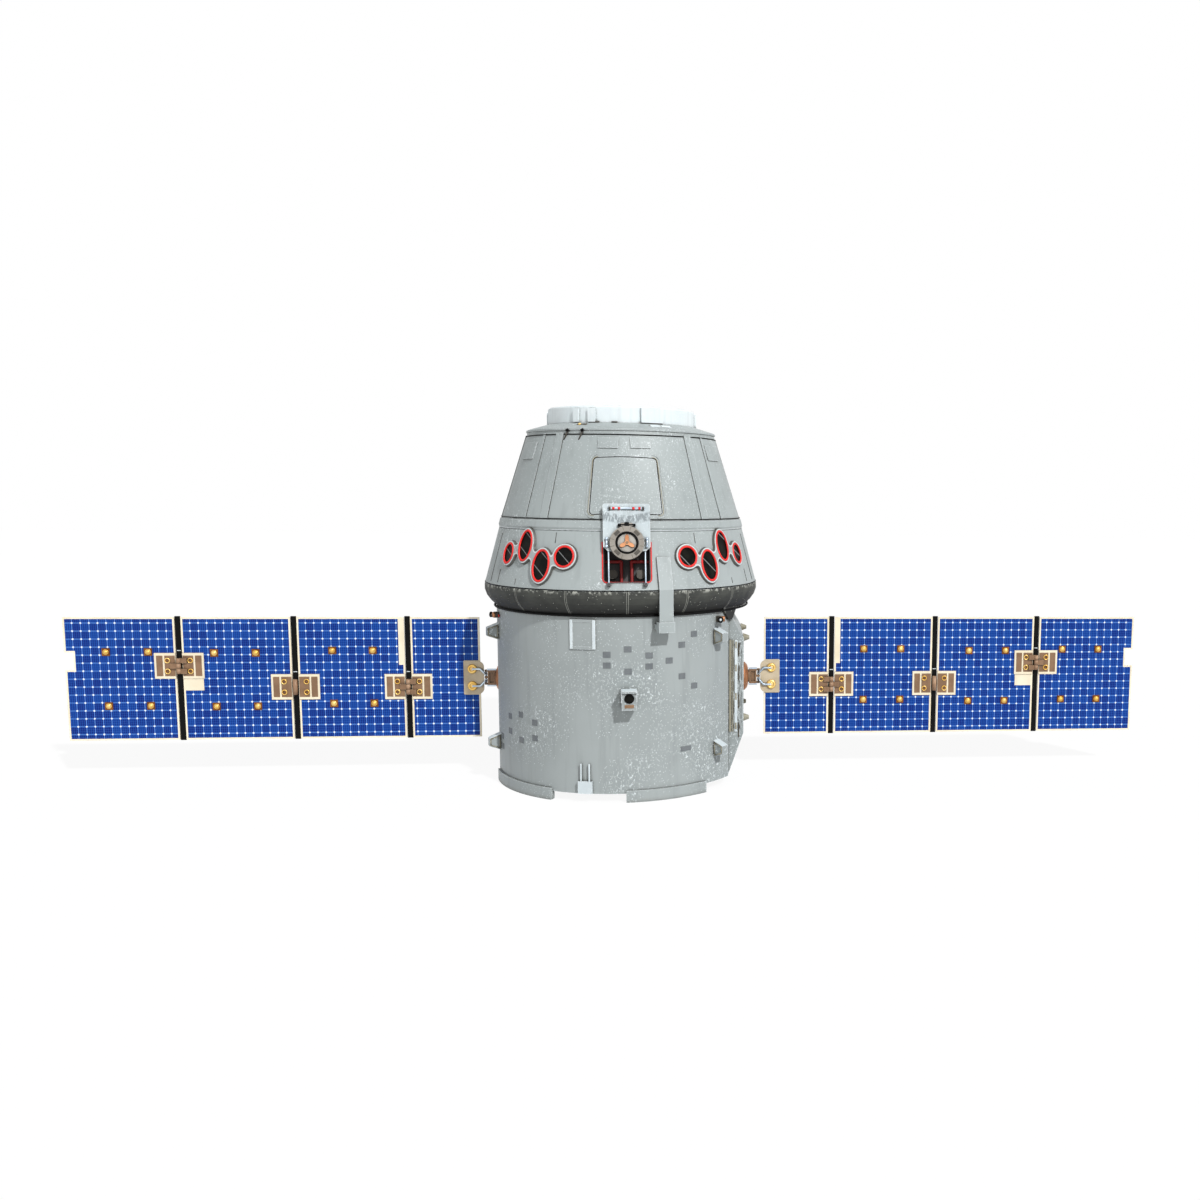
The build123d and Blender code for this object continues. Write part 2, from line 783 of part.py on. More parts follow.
bar_y = plate_mid + plate_tall / 2 - bar_drop
face_low = plate_off + plate_thick
bar = front_lower * Pos(0, bar_y, face_low + bar_radius) * Rot(0, 90, 0) * Cylinder(bar_radius, bar_length)
for side in (-1, 1):
    bar += front_lower * Pos(side * bar_foot_x, bar_y, face_low + bar_foot[2] / 2) * Box(*bar_foot)
bar -= front_lower * Pos(0, bar_y, face_low - 30) * Box(900, 200, 60)
save("plate_bar", bar)

fixture_y = up_slope(fixture_z)
fixture_face = face_low + fixture_stand + fixture_thick - hub_depth
fixture = front_lower * Pos(0, fixture_y, face_low + fixture_stand) * Cylinder(
    fixture_radius, fixture_thick, align=on_end
)
fixture += front_lower * Pos(0, fixture_y + 30, face_low) * Cylinder(
    fixture_foot, fixture_stand + 4, align=on_end
)
fixture -= front_lower * Pos(0, fixture_y, fixture_face) * Cylinder(fixture_hub, 2 * hub_depth, align=on_end)
tab_y = fixture_y + fixture_radius + 22
fixture += front_lower * Pos(0, tab_y, face_low + fixture_tab[2] / 2) * Box(*fixture_tab)
save("grapple_fixture", fixture)
blades = Part()
blades += front_lower * Pos(0, fixture_y, fixture_face) * Cylinder(blade_hub, blade_thick + 6, align=on_end)
for turn in (90, 210, 330):
    blade = Rot(0, 0, turn) * Pos(blade_out, 0, 0) * extrude(Ellipse(*blade_half), amount=blade_thick)
    blades += front_lower * Pos(0, fixture_y, fixture_face) * blade
save("grapple_blades", blades)

# Strap over the heat shield
strap_outer = shield_radius + shield_swell + strap_thick
strap_section = (
    (wall_radius(strap_top), strap_top),
    (wall_radius(strap_top) + strap_thick, strap_top),
    (strap_outer, shield_edge + 20),
    (strap_outer, strap_block_low),
    (strap_outer - strap_thick, strap_block_low),
    (strap_outer - strap_thick, shield_edge - 30),
    (shield_radius, shield_edge),
)


def upright_prism(section, azimuth, width):
    """Extrude a radius and height outline sideways at an azimuth."""
    turn = radians(azimuth)
    side = Vector(cos(turn), sin(turn), 0)
    corners = [Vector(r * sin(turn), -r * cos(turn), z) - side * (width / 2) for r, z in section]
    return extrude(make_face(Polyline(*corners, close=True)), amount=width, dir=side)


strap = upright_prism(strap_section, strap_azimuth, strap_width)
strap -= shield
strap -= turned((0, shield_edge), (shield_radius, shield_edge), (wall_radius(ridge_z), ridge_z), (0, ridge_z))
block_section = (
    (trunk_radius - 20, strap_block_low + strap_neck),
    (strap_outer - strap_block_depth, strap_block_low + strap_neck),
    (strap_outer - strap_block_depth, strap_block_low),
    (strap_outer + strap_block_proud, strap_block_low),
    (strap_outer + strap_block_proud, strap_block_high),
    (strap_outer - strap_block_depth, strap_block_high),
    (strap_outer - strap_block_depth, strap_block_high - strap_neck),
    (trunk_radius - 20, strap_block_high - strap_neck),
)
strap += upright_prism(block_section, strap_azimuth, strap_block_width) - core
save("umbilical_strap", strap)

# Ribs and small plates on the upper wall
rib_low, rib_high = ridge_high + 10, bead_z - 30
rib_mid = (rib_low + rib_high) / 2
ribs = []
for turn, half, proud in rib_rows:
    place = spot(clock + turn, wall_radius(rib_mid), rib_mid, lean_upper)
    skin = shell_layer(rib_low, rib_high, proud, 0)
    ribs.append(skin & block(place, 2 * half, 2 * (rib_high - rib_low), 200, sink=200))
save("wall_ribs", *ribs)

pads = []
for turn, low_z, high_z, half in wall_plate_rows:
    mid = (low_z + high_z) / 2
    place = spot(clock + turn, wall_radius(mid), mid, lean_upper)
    skin = shell_layer(low_z, high_z, wall_plate_proud, 0)
    pads.append(skin & block(place, 2 * half, 2 * (high_z - low_z), 200, sink=200))
save("wall_plates", *pads)


# Wing root on the trunk: a round dome with the drive shaft's bore, seated at seat_x
def drive_dome(seat_x):
    straight = bay_x + (dome_face - bay_x) / 2
    outline = ((seat_x, 0), (seat_x, dome_radius), (straight, dome_radius))
    outline += ((dome_face - 14, dome_radius - dome_rim),)
    outline += ((dome_face, dome_radius - 2 * dome_rim), (dome_face, 0))
    corners = [(x, y, boom_z) for x, y in outline]
    dome = revolve(make_face(Polyline(*corners, close=True)), axis=Axis((0, 0, boom_z), (1, 0, 0)))
    return dome - rod((shaft_end - 200, 0, boom_z), (dome_face + 50, 0, boom_z), shaft_radius + run_gap)


# Drive yoke: shaft, flange, bracket and the fold pin in its lugs
half_bracket = bracket_height / 2
yoke = rod((bay_x + 8, 0, boom_z), (bracket_start + 5, 0, boom_z), shaft_radius)
yoke += rod((dome_face + 5, 0, boom_z), (bracket_start + 5, 0, boom_z), flange_radius)
yoke += slab(
    (bracket_start, -bracket_half, boom_z - half_bracket), (bracket_end, bracket_half, boom_z + half_bracket)
)
yoke -= slab(
    (bracket_start + bracket_wall, -2 * bracket_half, boom_z - half_bracket + 34),
    (bracket_end - 24, -bracket_half + 16, boom_z + half_bracket - 34),
)
lug_zs = (boom_z - half_bracket + lug_height / 2, boom_z, boom_z + half_bracket - lug_height / 2)
for lug_z in lug_zs:
    yoke += Pos(fold_x, 0, lug_z) * Cylinder(lug_radius, lug_height)
    yoke += slab(
        (bracket_end - 4, -lug_radius, lug_z - lug_height / 2), (fold_x, lug_radius, lug_z + lug_height / 2)
    )
yoke += Pos(fold_x, 0, boom_z) * Cylinder(fold_pin, bracket_height)

# Root arm: two bent rods from eyes on the fold pin to washers on the root plate
front_face = -frame_thick / 2
rod_y = front_face - root_plate_thick - root_rod
eye_z = (lug_zs[1] + lug_zs[2]) / 2 - boom_z
arm = Part()
for side in (-1, 1):
    eye_at = boom_z + side * eye_z
    washer_at = boom_z + side * washer_rise
    route = (
        (fold_x, -lug_radius / 2, eye_at),
        (fold_x + 12, rod_y, eye_at),
        (wing_start - 4, rod_y, washer_at),
        (washer_x, rod_y, washer_at),
    )
    arm += bent_rod(route, root_rod)
    arm += Pos(fold_x, 0, eye_at) * Cylinder(lug_radius, eye_height)
    seat = (washer_x, front_face - root_plate_thick, washer_at)
    arm += rod(seat, (washer_x, rod_y - root_rod, washer_at), washer_radius / 2)
    arm += rod(seat, (washer_x, seat[1] - washer_thick, washer_at), washer_radius)
arm -= Pos(fold_x, 0, boom_z) * Cylinder(fold_pin + run_gap, 2 * bracket_height)

# Root plate with its bulging inner edge
root_plate = slab(
    (root_plate_in + root_plate_bulge, front_face - root_plate_thick, root_plate_low),
    (root_plate_out, front_face, root_plate_high),
)
root_plate += slab(
    (root_plate_in, front_face - root_plate_thick, root_plate_low + root_plate_bulge),
    (root_plate_out, front_face, root_plate_high - root_plate_bulge),
)
for corner_z in (root_plate_low + root_plate_bulge, root_plate_high - root_plate_bulge):
    root_plate += rod(
        (root_plate_in + root_plate_bulge, front_face - root_plate_thick, corner_z),
        (root_plate_in + root_plate_bulge, front_face, corner_z),
        root_plate_bulge,
    )

# Panels from the root outwards: inner edge and outer edge
edges = [(wing_start, wing_start + root_width)]
for _ in range(panel_count - 1):
    inner = edges[-1][1] + panel_gap
    edges.append((inner, inner + panel_width))
hinge_xs = [last + panel_gap / 2 for _, last in edges[:-1]]
hinge_sides = (-1, 1, -1)
panel_low = boom_z - panel_height / 2
panel_high = boom_z + panel_height / 2

panels = []
for i, (start, end) in enumerate(edges):
    panel = slab((start, -panel_thick / 2, panel_low), (end, panel_thick / 2, panel_high))
    frame = slab((start, -frame_thick / 2, panel_low), (end, frame_thick / 2, panel_high))
    frame -= slab(
        (start + frame_rim, -50, panel_low + frame_rim), (end - frame_rim, 50, panel_high - frame_rim)
    )
    panel += frame
    if i < panel_count - 1:
        panel += slab(
            (end, -bar_thick / 2, panel_low - bar_over / 2),
            (end + bar_width, bar_thick / 2, panel_high + bar_over),
        )
    else:
        panel -= slab((end - end_notch_depth, -50, end_notch_low), (end + 50, 50, end_notch_high))
    if i == 0:
        panel += root_plate
    panels.append(panel)


# Fold hinge between two panels: plates on both faces, arms and knuckles on the side that it folds to
def leaf_plate(edge, toward, hinge_z, face_side, inset=0):
    """Plate on one panel face that starts at the panel's edge and runs away from the gap."""
    near = face_side * frame_thick / 2
    far = near + face_side * leaf_thick
    x_low, x_high = sorted((edge, edge - toward * leaf_width))
    y_low, y_high = sorted((near, far))
    half = leaf_height / 2
    return slab((x_low, y_low, hinge_z - half), (x_high, y_high, hinge_z + half))


def knuckle_arm(edge, axis_x, axis_y, toward, z_low, z_high, side):
    """Barrel knuckle with the arm that joins it to its plate."""
    knuckle = rod((axis_x, axis_y, z_low), (axis_x, axis_y, z_high), knuckle_radius)
    plate_y = side * (frame_thick / 2 + leaf_thick)
    y_low, y_high = sorted((axis_y + side * arm_thick / 2, plate_y - side * leaf_thick / 2))
    x_low, x_high = sorted((axis_x, edge - toward * 70))
    arm_block = slab((x_low, y_low, z_low), (x_high, y_high, z_high))
    clear = frame_thick / 2
    arm_block -= slab((min(x_low, x_high) - 1, -clear, z_low - 1), (max(x_low, x_high) + 1, clear, z_high + 1))
    return knuckle + arm_block


fittings_on = [Part() for _ in range(panel_count)]
for i, (axis_x, side, hinge_z) in enumerate(zip(hinge_xs, hinge_sides, hinge_zs)):
    axis_y = side * fold_pitch / 2
    inner_edge, outer_edge = edges[i][1], edges[i + 1][0]
    low_z, high_z = hinge_z - knuckle_height / 2, hinge_z + knuckle_height / 2
    third = knuckle_height / 3
    for face_side in (-1, 1):
        fittings_on[i] += leaf_plate(inner_edge, 1, hinge_z, face_side)
        fittings_on[i + 1] += leaf_plate(outer_edge, -1, hinge_z, face_side)
    for z_a, z_b in ((low_z, low_z + third - knuckle_gap), (high_z - third + knuckle_gap, high_z)):
        fittings_on[i] += knuckle_arm(inner_edge, axis_x, axis_y, 1, z_a, z_b, side)
    fittings_on[i] += rod((axis_x, axis_y, low_z), (axis_x, axis_y, high_z), hinge_pin)
    middle = knuckle_arm(outer_edge, axis_x, axis_y, -1, low_z + third, high_z - third, side)
    middle -= rod((axis_x, axis_y, low_z), (axis_x, axis_y, high_z), hinge_pin + run_gap)
    fittings_on[i + 1] += middle

for side_name, seat_x in (("right", bay_x), ("left", pocket_x)):
    pieces = {"drive_dome": drive_dome(seat_x), "drive_yoke": yoke, "root_arm": arm}
    for i in range(panel_count):
        pieces[f"panel_{i + 1}"] = panels[i]
        pieces[f"hinge_plates_{i + 1}"] = fittings_on[i]
    for name, piece in pieces.items():
        save(f"{side_name}_{name}", piece if side_name == "right" else mirror(piece, about=Plane.YZ))
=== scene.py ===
from math import atan2, ceil, cos, hypot, pi, radians, sin, sqrt, tan

import bmesh
import bpy
from mathutils import Matrix, Vector


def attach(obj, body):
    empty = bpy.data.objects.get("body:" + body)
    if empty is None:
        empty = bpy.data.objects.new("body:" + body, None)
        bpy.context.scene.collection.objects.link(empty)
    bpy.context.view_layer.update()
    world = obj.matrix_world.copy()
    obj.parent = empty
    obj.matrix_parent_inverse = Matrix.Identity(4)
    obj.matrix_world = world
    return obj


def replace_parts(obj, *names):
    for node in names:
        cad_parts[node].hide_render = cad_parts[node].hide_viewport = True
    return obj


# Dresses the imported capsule, trunk and solar wings. Metres, front to -Y, up +Z, wings along X.
print("loading the frame")
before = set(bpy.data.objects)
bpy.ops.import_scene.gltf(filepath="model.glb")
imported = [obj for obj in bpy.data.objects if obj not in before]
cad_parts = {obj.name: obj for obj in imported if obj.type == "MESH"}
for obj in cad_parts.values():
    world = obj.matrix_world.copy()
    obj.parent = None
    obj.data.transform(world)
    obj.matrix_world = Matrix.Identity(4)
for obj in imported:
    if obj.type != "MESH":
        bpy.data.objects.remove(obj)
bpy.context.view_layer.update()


def shade(red, green, blue):
    # a screen colour from 0 to 255 as the linear colour that a node takes
    def linear(c):
        c /= 255
        return c / 12.92 if c <= 0.04045 else ((c + 0.055) / 1.055) ** 2.4
    return (linear(red), linear(green), linear(blue), 1.0)


def darker(colour, share):
    return tuple(share * c for c in colour[:3]) + (1.0,)


# shader maths
class Wire:
    # one socket: operators add Math nodes
    def __init__(self, bench, socket):
        self.bench, self.socket = bench, socket

    def calc(self, operation, *values):
        return self.bench.node("ShaderNodeMath", {"operation": operation}, dict(enumerate(values)))

    def __add__(self, other): return self.calc("ADD", self, other)
    def __sub__(self, other): return self.calc("SUBTRACT", self, other)
    def __rsub__(self, other): return self.calc("SUBTRACT", other, self)
    def __mul__(self, other): return self.calc("MULTIPLY", self, other)
    def __truediv__(self, other): return self.calc("DIVIDE", self, other)
    def __rtruediv__(self, other): return self.calc("DIVIDE", other, self)
    def __lt__(self, other): return self.calc("LESS_THAN", self, other)
    def __gt__(self, other): return self.calc("GREATER_THAN", self, other)
    def __abs__(self): return self.calc("ABSOLUTE", self)
    __radd__ = __add__
    __rmul__ = __mul__

    def most(self, other): return self.calc("MAXIMUM", self, other)
    def fraction(self): return self.calc("FRACT", self)
    def whole(self): return self.calc("FLOOR", self)
    def pick(self, name): return Wire(self.bench, self.socket.node.outputs[name])

    def fromMiddle(self):
        # 0 in the middle of each whole step, 0.5 at its ends
        return abs(self.fraction() - 0.5)

    def rise(self, low, high):
        # 0 below low, 1 above high, smooth between
        settings = {"interpolation_type": "SMOOTHSTEP"}
        return self.bench.node("ShaderNodeMapRange", settings, {"Value": self, "From Min": low, "From Max": high})


class Bench:
    # the one place that makes nodes, of any tree
    def __init__(self, tree):
        self.tree = tree

    def node(self, kind, settings=None, sockets=None, out=0):
        made = self.tree.nodes.new(kind)
        for key, value in (settings or {}).items():
            setattr(made, key, value)
        for key, value in (sockets or {}).items():
            if isinstance(value, Wire):
                self.tree.links.new(value.socket, made.inputs[key])
            else:
                made.inputs[key].default_value = value
        return Wire(self, made.outputs[out]) if made.outputs else made

    def place(self):
        return self.node("ShaderNodeTexCoord").pick("Object")

    def axes(self, place):
        return self.node("ShaderNodeSeparateXYZ", None, {"Vector": place})

    def noise(self, place, scale, detail=2.0, rough=0.5):
        sockets = {"Vector": place, "Scale": scale, "Detail": detail, "Roughness": rough}
        return self.node("ShaderNodeTexNoise", None, sockets)

    def speckle(self, place, scale):
        # distance from the nearest of scattered points
        return self.node("ShaderNodeTexVoronoi", None, {"Vector": place, "Scale": scale}).pick("Distance")

    def stretched(self, place, scale, turn=(0, 0, 0)):
        return self.node("ShaderNodeMapping", None, {"Vector": place, "Scale": scale, "Rotation": turn})

    def mixed(self, factor, first, second, how="MIX"):
        settings = {"data_type": "RGBA", "blend_type": how}
        return self.node("ShaderNodeMix", settings, {0: factor, 6: first, 7: second}, 2)

    def edges(self, radius):
        # 1 on sharp outer and inner edges, 0 on flat skin
        soft = self.node("ShaderNodeBevel", {"samples": 4}, {"Radius": radius})
        flat = self.node("ShaderNodeNewGeometry").pick("Normal")
        return 1 - self.node("ShaderNodeVectorMath", {"operation": "DOT_PRODUCT"}, {0: soft, 1: flat}, 1)

    def creases(self, distance):
        # 1 deep in a corner, 0 in the open
        return 1 - self.node("ShaderNodeAmbientOcclusion", {"samples": 4}, {"Distance": distance}).pick("AO")

    def seen(self):
        # 1 for what the camera sees straight, in a mirror or through glass
        path = self.node("ShaderNodeLightPath")
        return path.pick("Is Camera Ray").most(path.pick("Is Glossy Ray")).most(path.pick("Is Transmission Ray"))


def newFinish(name):
    made = bpy.data.materials.new(name)
    made.use_nodes = True
    made.node_tree.nodes.clear()
    return made, Bench(made.node_tree)


def wearSurface(bench, colour, rough, metal=0.0, bump=None, depth=0.001, extra=None):
    # the shader that every finish ends in
    sockets = {"Base Color": colour, "Roughness": rough, "Metallic": metal}
    sockets.update(extra or {})
    if bump is not None:
        sockets["Normal"] = bench.node("ShaderNodeBump", None, {"Height": bump, "Strength": 0.5, "Distance": depth})
    surface = bench.node("ShaderNodeBsdfPrincipled", None, sockets)
    bench.node("ShaderNodeOutputMaterial", None, {"Surface": surface})


def paintFinish(name, look):
    # flight paint: faint patches and runs, khaki grime and painted shade in the corners, painted shade in the seams,
    # pale worn edges with a painted highlight, chips in scattered fields
    made, bench = newFinish(name)
    place = bench.place()
    patches = bench.noise(place, look["patchScale"], 3.0)
    runs = bench.noise(bench.stretched(place, (5.0, 5.0, 0.35)), 2.2, 3.0)
    colour = bench.mixed(patches.rise(0.36, 0.66), look["colour"], look["second"])
    colour = bench.mixed(runs.rise(0.5, 0.75) * 0.35, colour, look["stain"])
    # painted shade: corners darken by their occlusion, tinted khaki as grime
    corner = bench.creases(look["grimeReach"]).rise(0.15, 0.8)
    colour = bench.mixed(corner * look["grime"], colour, look["grimeColour"])
    # painted shade: narrow occlusion darkens seams and gaps nearly black
    seam = bench.creases(0.045).rise(0.2, 0.55)
    colour = bench.mixed(seam * look["grime"], colour, look["seamColour"])
    field = bench.noise(place, look["chipField"], 2.0).rise(look["chipFrom"], look["chipFrom"] + 0.13)
    flakes = bench.noise(place, look["chipScale"] * 0.7, 5.0, 0.75).rise(0.59, 0.62)
    streaks = bench.noise(bench.stretched(place, (20.0, 20.0, 5.0), (0.5, 0.3, 0.8)), 2.6, 4.0, 0.7).rise(0.61, 0.64)
    strays = (bench.speckle(place, look["chipScale"]) < 0.16) * (patches > 0.45)
    marks = (flakes * field).most(strays).most(streaks * field)
    colour = bench.mixed(marks * look["chips"], colour, look["chipColour"])
    # pod housings: a painted highlight along the lip and a painted shadow line at the foot of each outline
    if "edgeLines" in look:
        far = bench.node("ShaderNodeAttribute", {"attribute_name": "edge"}, None, 2)
        lip = far.rise(-0.034, -0.029) * (1 - far.rise(-0.024, -0.019))
        foot = far.rise(-0.020, -0.014)
        colour = bench.mixed(lip * look["edgeLines"] * 0.75, colour, look["chipColour"])
        colour = bench.mixed(foot * look["edgeLines"], colour, look["seamColour"])
    # pale worn edges: partly real wear, partly a painted highlight on every sharp edge
    edge = bench.edges(look["wearWidth"]).rise(0.02, 0.14) * bench.noise(place, 9.0, 3.0).rise(0.2, 0.5)
    colour = bench.mixed(edge * look["wear"], colour, look["chipColour"])
    if "smudge" in look:
        split = bench.axes(place)
        low, high = look["smudge"]
        sag = split.pick("Z") + abs(split.pick("X") - 0.19) * -0.18
        band = sag.rise(low, low + 0.04) * (1 - sag.rise(high - 0.06, high - 0.03))
        wiped = bench.noise(bench.stretched(place, (26.0, 3.0, 9.0), (0.0, 0.5, 0.0)), 1.6, 4.0, 0.7).rise(0.42, 0.52)
        colour = bench.mixed(band * wiped * 0.75, colour, shade(104, 112, 116))
    wearSurface(bench, colour, 0.46 + 0.12 * patches - 0.1 * marks, 0.0, bench.noise(place, 38.0, 2.0), 0.0015)
    return made


# five screen colours, then noise scales, reaches in metres and strengths
paintColumns = ("colour", "second", "stain", "grimeColour", "chipColour", "patchScale", "grimeReach", "grime",
                "chipField", "chipFrom", "chipScale", "chips", "wearWidth", "wear")
# the fourth colour tints the painted shade in corners and seams; the fifth is for chips and for the painted highlights
# on edges
paintRows = {
    "trunkPaint": (
        (158, 165, 165), (148, 155, 155), (132, 138, 138), (96, 92, 80), (228, 236, 238),
        0.9, 0.12, 0.75, 0.95, 0.50, 34.0, 0.9, 0.012, 0.7),
    "capsulePaint": (
        (164, 172, 172), (155, 163, 163), (138, 145, 145), (104, 98, 82), (234, 241, 243),
        0.8, 0.10, 0.8, 1.05, 0.5, 36.0, 0.75, 0.012, 0.75),
    "nosePaint": (
        (236, 244, 246), (226, 236, 239), (206, 214, 216), (120, 118, 108), (250, 252, 252),
        1.4, 0.06, 0.6, 1.5, 0.6, 26.0, 0.5, 0.01, 0.6),
    "whiteFitting": (
        (214, 224, 227), (200, 210, 214), (170, 176, 178), (104, 104, 98), (246, 250, 250),
        3.0, 0.05, 0.7, 2.0, 0.55, 40.0, 0.5, 0.008, 0.8),
    "khakiMetal": (
        (150, 146, 128), (134, 128, 108), (116, 108, 86), (74, 66, 48), (196, 194, 178),
        4.0, 0.05, 0.7, 3.0, 0.56, 40.0, 0.5, 0.008, 0.7),
    "fixtureMetal": (
        (146, 140, 131), (132, 126, 117), (112, 105, 96), (62, 56, 48), (190, 186, 178),
        5.0, 0.04, 0.8, 3.0, 0.6, 60.0, 0.4, 0.006, 0.8),
    "brownMetal": (
        (140, 108, 80), (124, 94, 68), (104, 76, 52), (58, 42, 28), (196, 168, 134),
        6.0, 0.05, 0.85, 4.0, 0.6, 60.0, 0.3, 0.006, 0.7),
    "darkMetal": (
        (74, 68, 58), (58, 53, 46), (44, 40, 34), (24, 20, 16), (150, 140, 120),
        6.0, 0.04, 0.7, 4.0, 0.6, 60.0, 0.3, 0.006, 0.6),
    "creamPlate": (
        (243, 232, 206), (234, 221, 193), (216, 200, 168), (146, 124, 92), (255, 249, 234),
        3.0, 0.04, 0.6, 3.0, 0.6, 60.0, 0.3, 0.006, 0.5),
    "stonePlate": (
        (208, 192, 164), (190, 174, 146), (184, 170, 150), (120, 100, 76), (238, 230, 214),
        4.0, 0.05, 0.7, 3.0, 0.6, 60.0, 0.4, 0.008, 0.6),
    "hubMetal": (
        (176, 172, 164), (160, 156, 148), (130, 124, 114), (62, 56, 48), (214, 212, 206),
        9.0, 0.04, 0.9, 3.0, 0.6, 60.0, 0.4, 0.006, 0.6),
    "tanMetal": (
        (172, 138, 108), (150, 116, 88), (120, 88, 62), (66, 46, 30), (220, 190, 156),
        8.0, 0.04, 0.8, 4.0, 0.6, 60.0, 0.3, 0.006, 0.8),
    "seamFiller": (
        (92, 94, 90), (74, 76, 72), (60, 58, 50), (44, 40, 32), (196, 202, 200),
        5.0, 0.03, 0.6, 2.0, 0.56, 50.0, 0.5, 0.002, 0.2),
    "darkPatch": (
        (112, 117, 120), (100, 105, 108), (90, 94, 97), (60, 62, 62), (170, 176, 178),
        7.0, 0.02, 0.4, 5.0, 0.6, 70.0, 0.3, 0.003, 0.3),
    "redPaint": (
        (236, 36, 28), (220, 28, 24), (150, 20, 18), (84, 14, 12), (242, 120, 108),
        6.0, 0.03, 0.5, 4.0, 0.62, 60.0, 0.3, 0.004, 0.4),
    "redPipe": (
        (150, 20, 20), (128, 16, 16), (96, 12, 12), (40, 8, 8), (214, 70, 60),
        6.0, 0.06, 0.6, 4.0, 0.62, 60.0, 0.3, 0.005, 0.5),
    "bayLining": (
        (58, 54, 54), (46, 42, 43), (66, 34, 34), (18, 14, 14), (120, 116, 114),
        5.0, 0.1, 0.8, 3.0, 0.6, 60.0, 0.3, 0.006, 0.4),
}
paintLooks = {}
for name, row in paintRows.items():
    paintLooks[name] = dict(zip(paintColumns, [shade(*colour) for colour in row[:5]] + list(row[5:])))
# pods: painted highlight on each housing's lip and painted shadow line at its foot
paintLooks["podPaint"] = dict(paintLooks["capsulePaint"], edgeLines=0.85)
paintLooks["platePaint"] = dict(paintLooks["capsulePaint"], colour=shade(196, 207, 210), second=shade(184, 195, 199),
                                smudge=(3.80, 3.98))
# seams take a much darker colour for their painted shade
for look in paintLooks.values():
    look["seamColour"] = darker(look["grimeColour"], 0.22)
finishes = {name: paintFinish(name, look) for name, look in paintLooks.items()}


def shieldFinish():
    # dark ablative tiles: mottled, chipped pale along the top edge, painted shade towards the foot
    look = {"colour": shade(62, 64, 59), "second": shade(46, 48, 45), "footShade": shade(30, 31, 29),
            "chip": shade(198, 200, 190), "tiles": 15, "tileShift": -0.25}
    made, bench = newFinish("shieldCoat")
    place = bench.place()
    split = bench.axes(place)
    height = split.pick("Z")
    mottle = bench.noise(place, 5.0, 5.0, 0.6)
    colour = bench.mixed(mottle.rise(0.35, 0.68), look["colour"], look["second"])
    colour = bench.mixed(1 - height.rise(2.62, 2.84), colour, look["footShade"])
    top = height.rise(2.865, 2.925) * bench.noise(place, 13.0, 4.0, 0.7).rise(0.5, 0.6)
    dots = (bench.speckle(place, 24.0) < 0.13) * (mottle > 0.52)
    colour = bench.mixed(top.most(dots) * 0.7, colour, look["chip"])
    turn = split.pick("X").calc("ARCTAN2", split.pick("X"), split.pick("Y") * -1) / radians(360 / look["tiles"])
    beside = (turn + look["tileShift"] + 20).fromMiddle()
    colour = bench.mixed(beside.rise(0.478, 0.488) * 0.45, colour, look["chip"])
    colour = bench.mixed(beside.rise(0.489, 0.494), colour, shade(12, 12, 11))
    # painted shade: grooves and creases darkened by occlusion
    colour = bench.mixed(bench.creases(0.05).rise(0.15, 0.8) * 0.9, colour, shade(14, 14, 13))
    wearSurface(bench, colour, 0.62 + 0.2 * mottle, 0.0, bench.noise(place, 46.0, 3.0), 0.003)
    return made


def metalFinish(name, colour, second, rough, grainScale):
    # bare or plated metal with a drawn grain
    made, bench = newFinish(name)
    place = bench.place()
    drawn = bench.noise(bench.stretched(place, grainScale), 8.0, 3.0)
    tint = bench.mixed(bench.noise(place, 6.0, 3.0).rise(0.35, 0.65), colour, second)
    # painted shade: crevices darkened by occlusion
    tint = bench.mixed(bench.creases(0.03).rise(0.2, 0.9) * 0.7, tint, darker(second, 0.18))
    wearSurface(bench, tint, rough + 0.18 * drawn, 0.75, drawn, 0.0008)
    return made


def glassFinish():
    # black port glazing with a faint slanted painted glint
    made, bench = newFinish("portGlass")
    place = bench.place()
    slant = bench.axes(bench.stretched(place, (1, 1, 1), (0.0, 0.75, 0.0)))
    bands = (slant.pick("X") * 5.2).fraction()
    # painted glint: a pale slanted band fixed on the glass
    paintedGlint = bands.rise(0.46, 0.50) * (1 - bands.rise(0.51, 0.54))
    cloud = bench.noise(place, 7.0, 3.0)
    colour = bench.mixed(cloud.rise(0.4, 0.7), shade(6, 7, 6), shade(24, 24, 20))
    colour = bench.mixed(paintedGlint * 0.5, colour, shade(186, 190, 190))
    wearSurface(bench, colour, 0.2 + 0.2 * cloud, 0.0, None, 0.001, {"Specular IOR Level": 0.08})
    return made


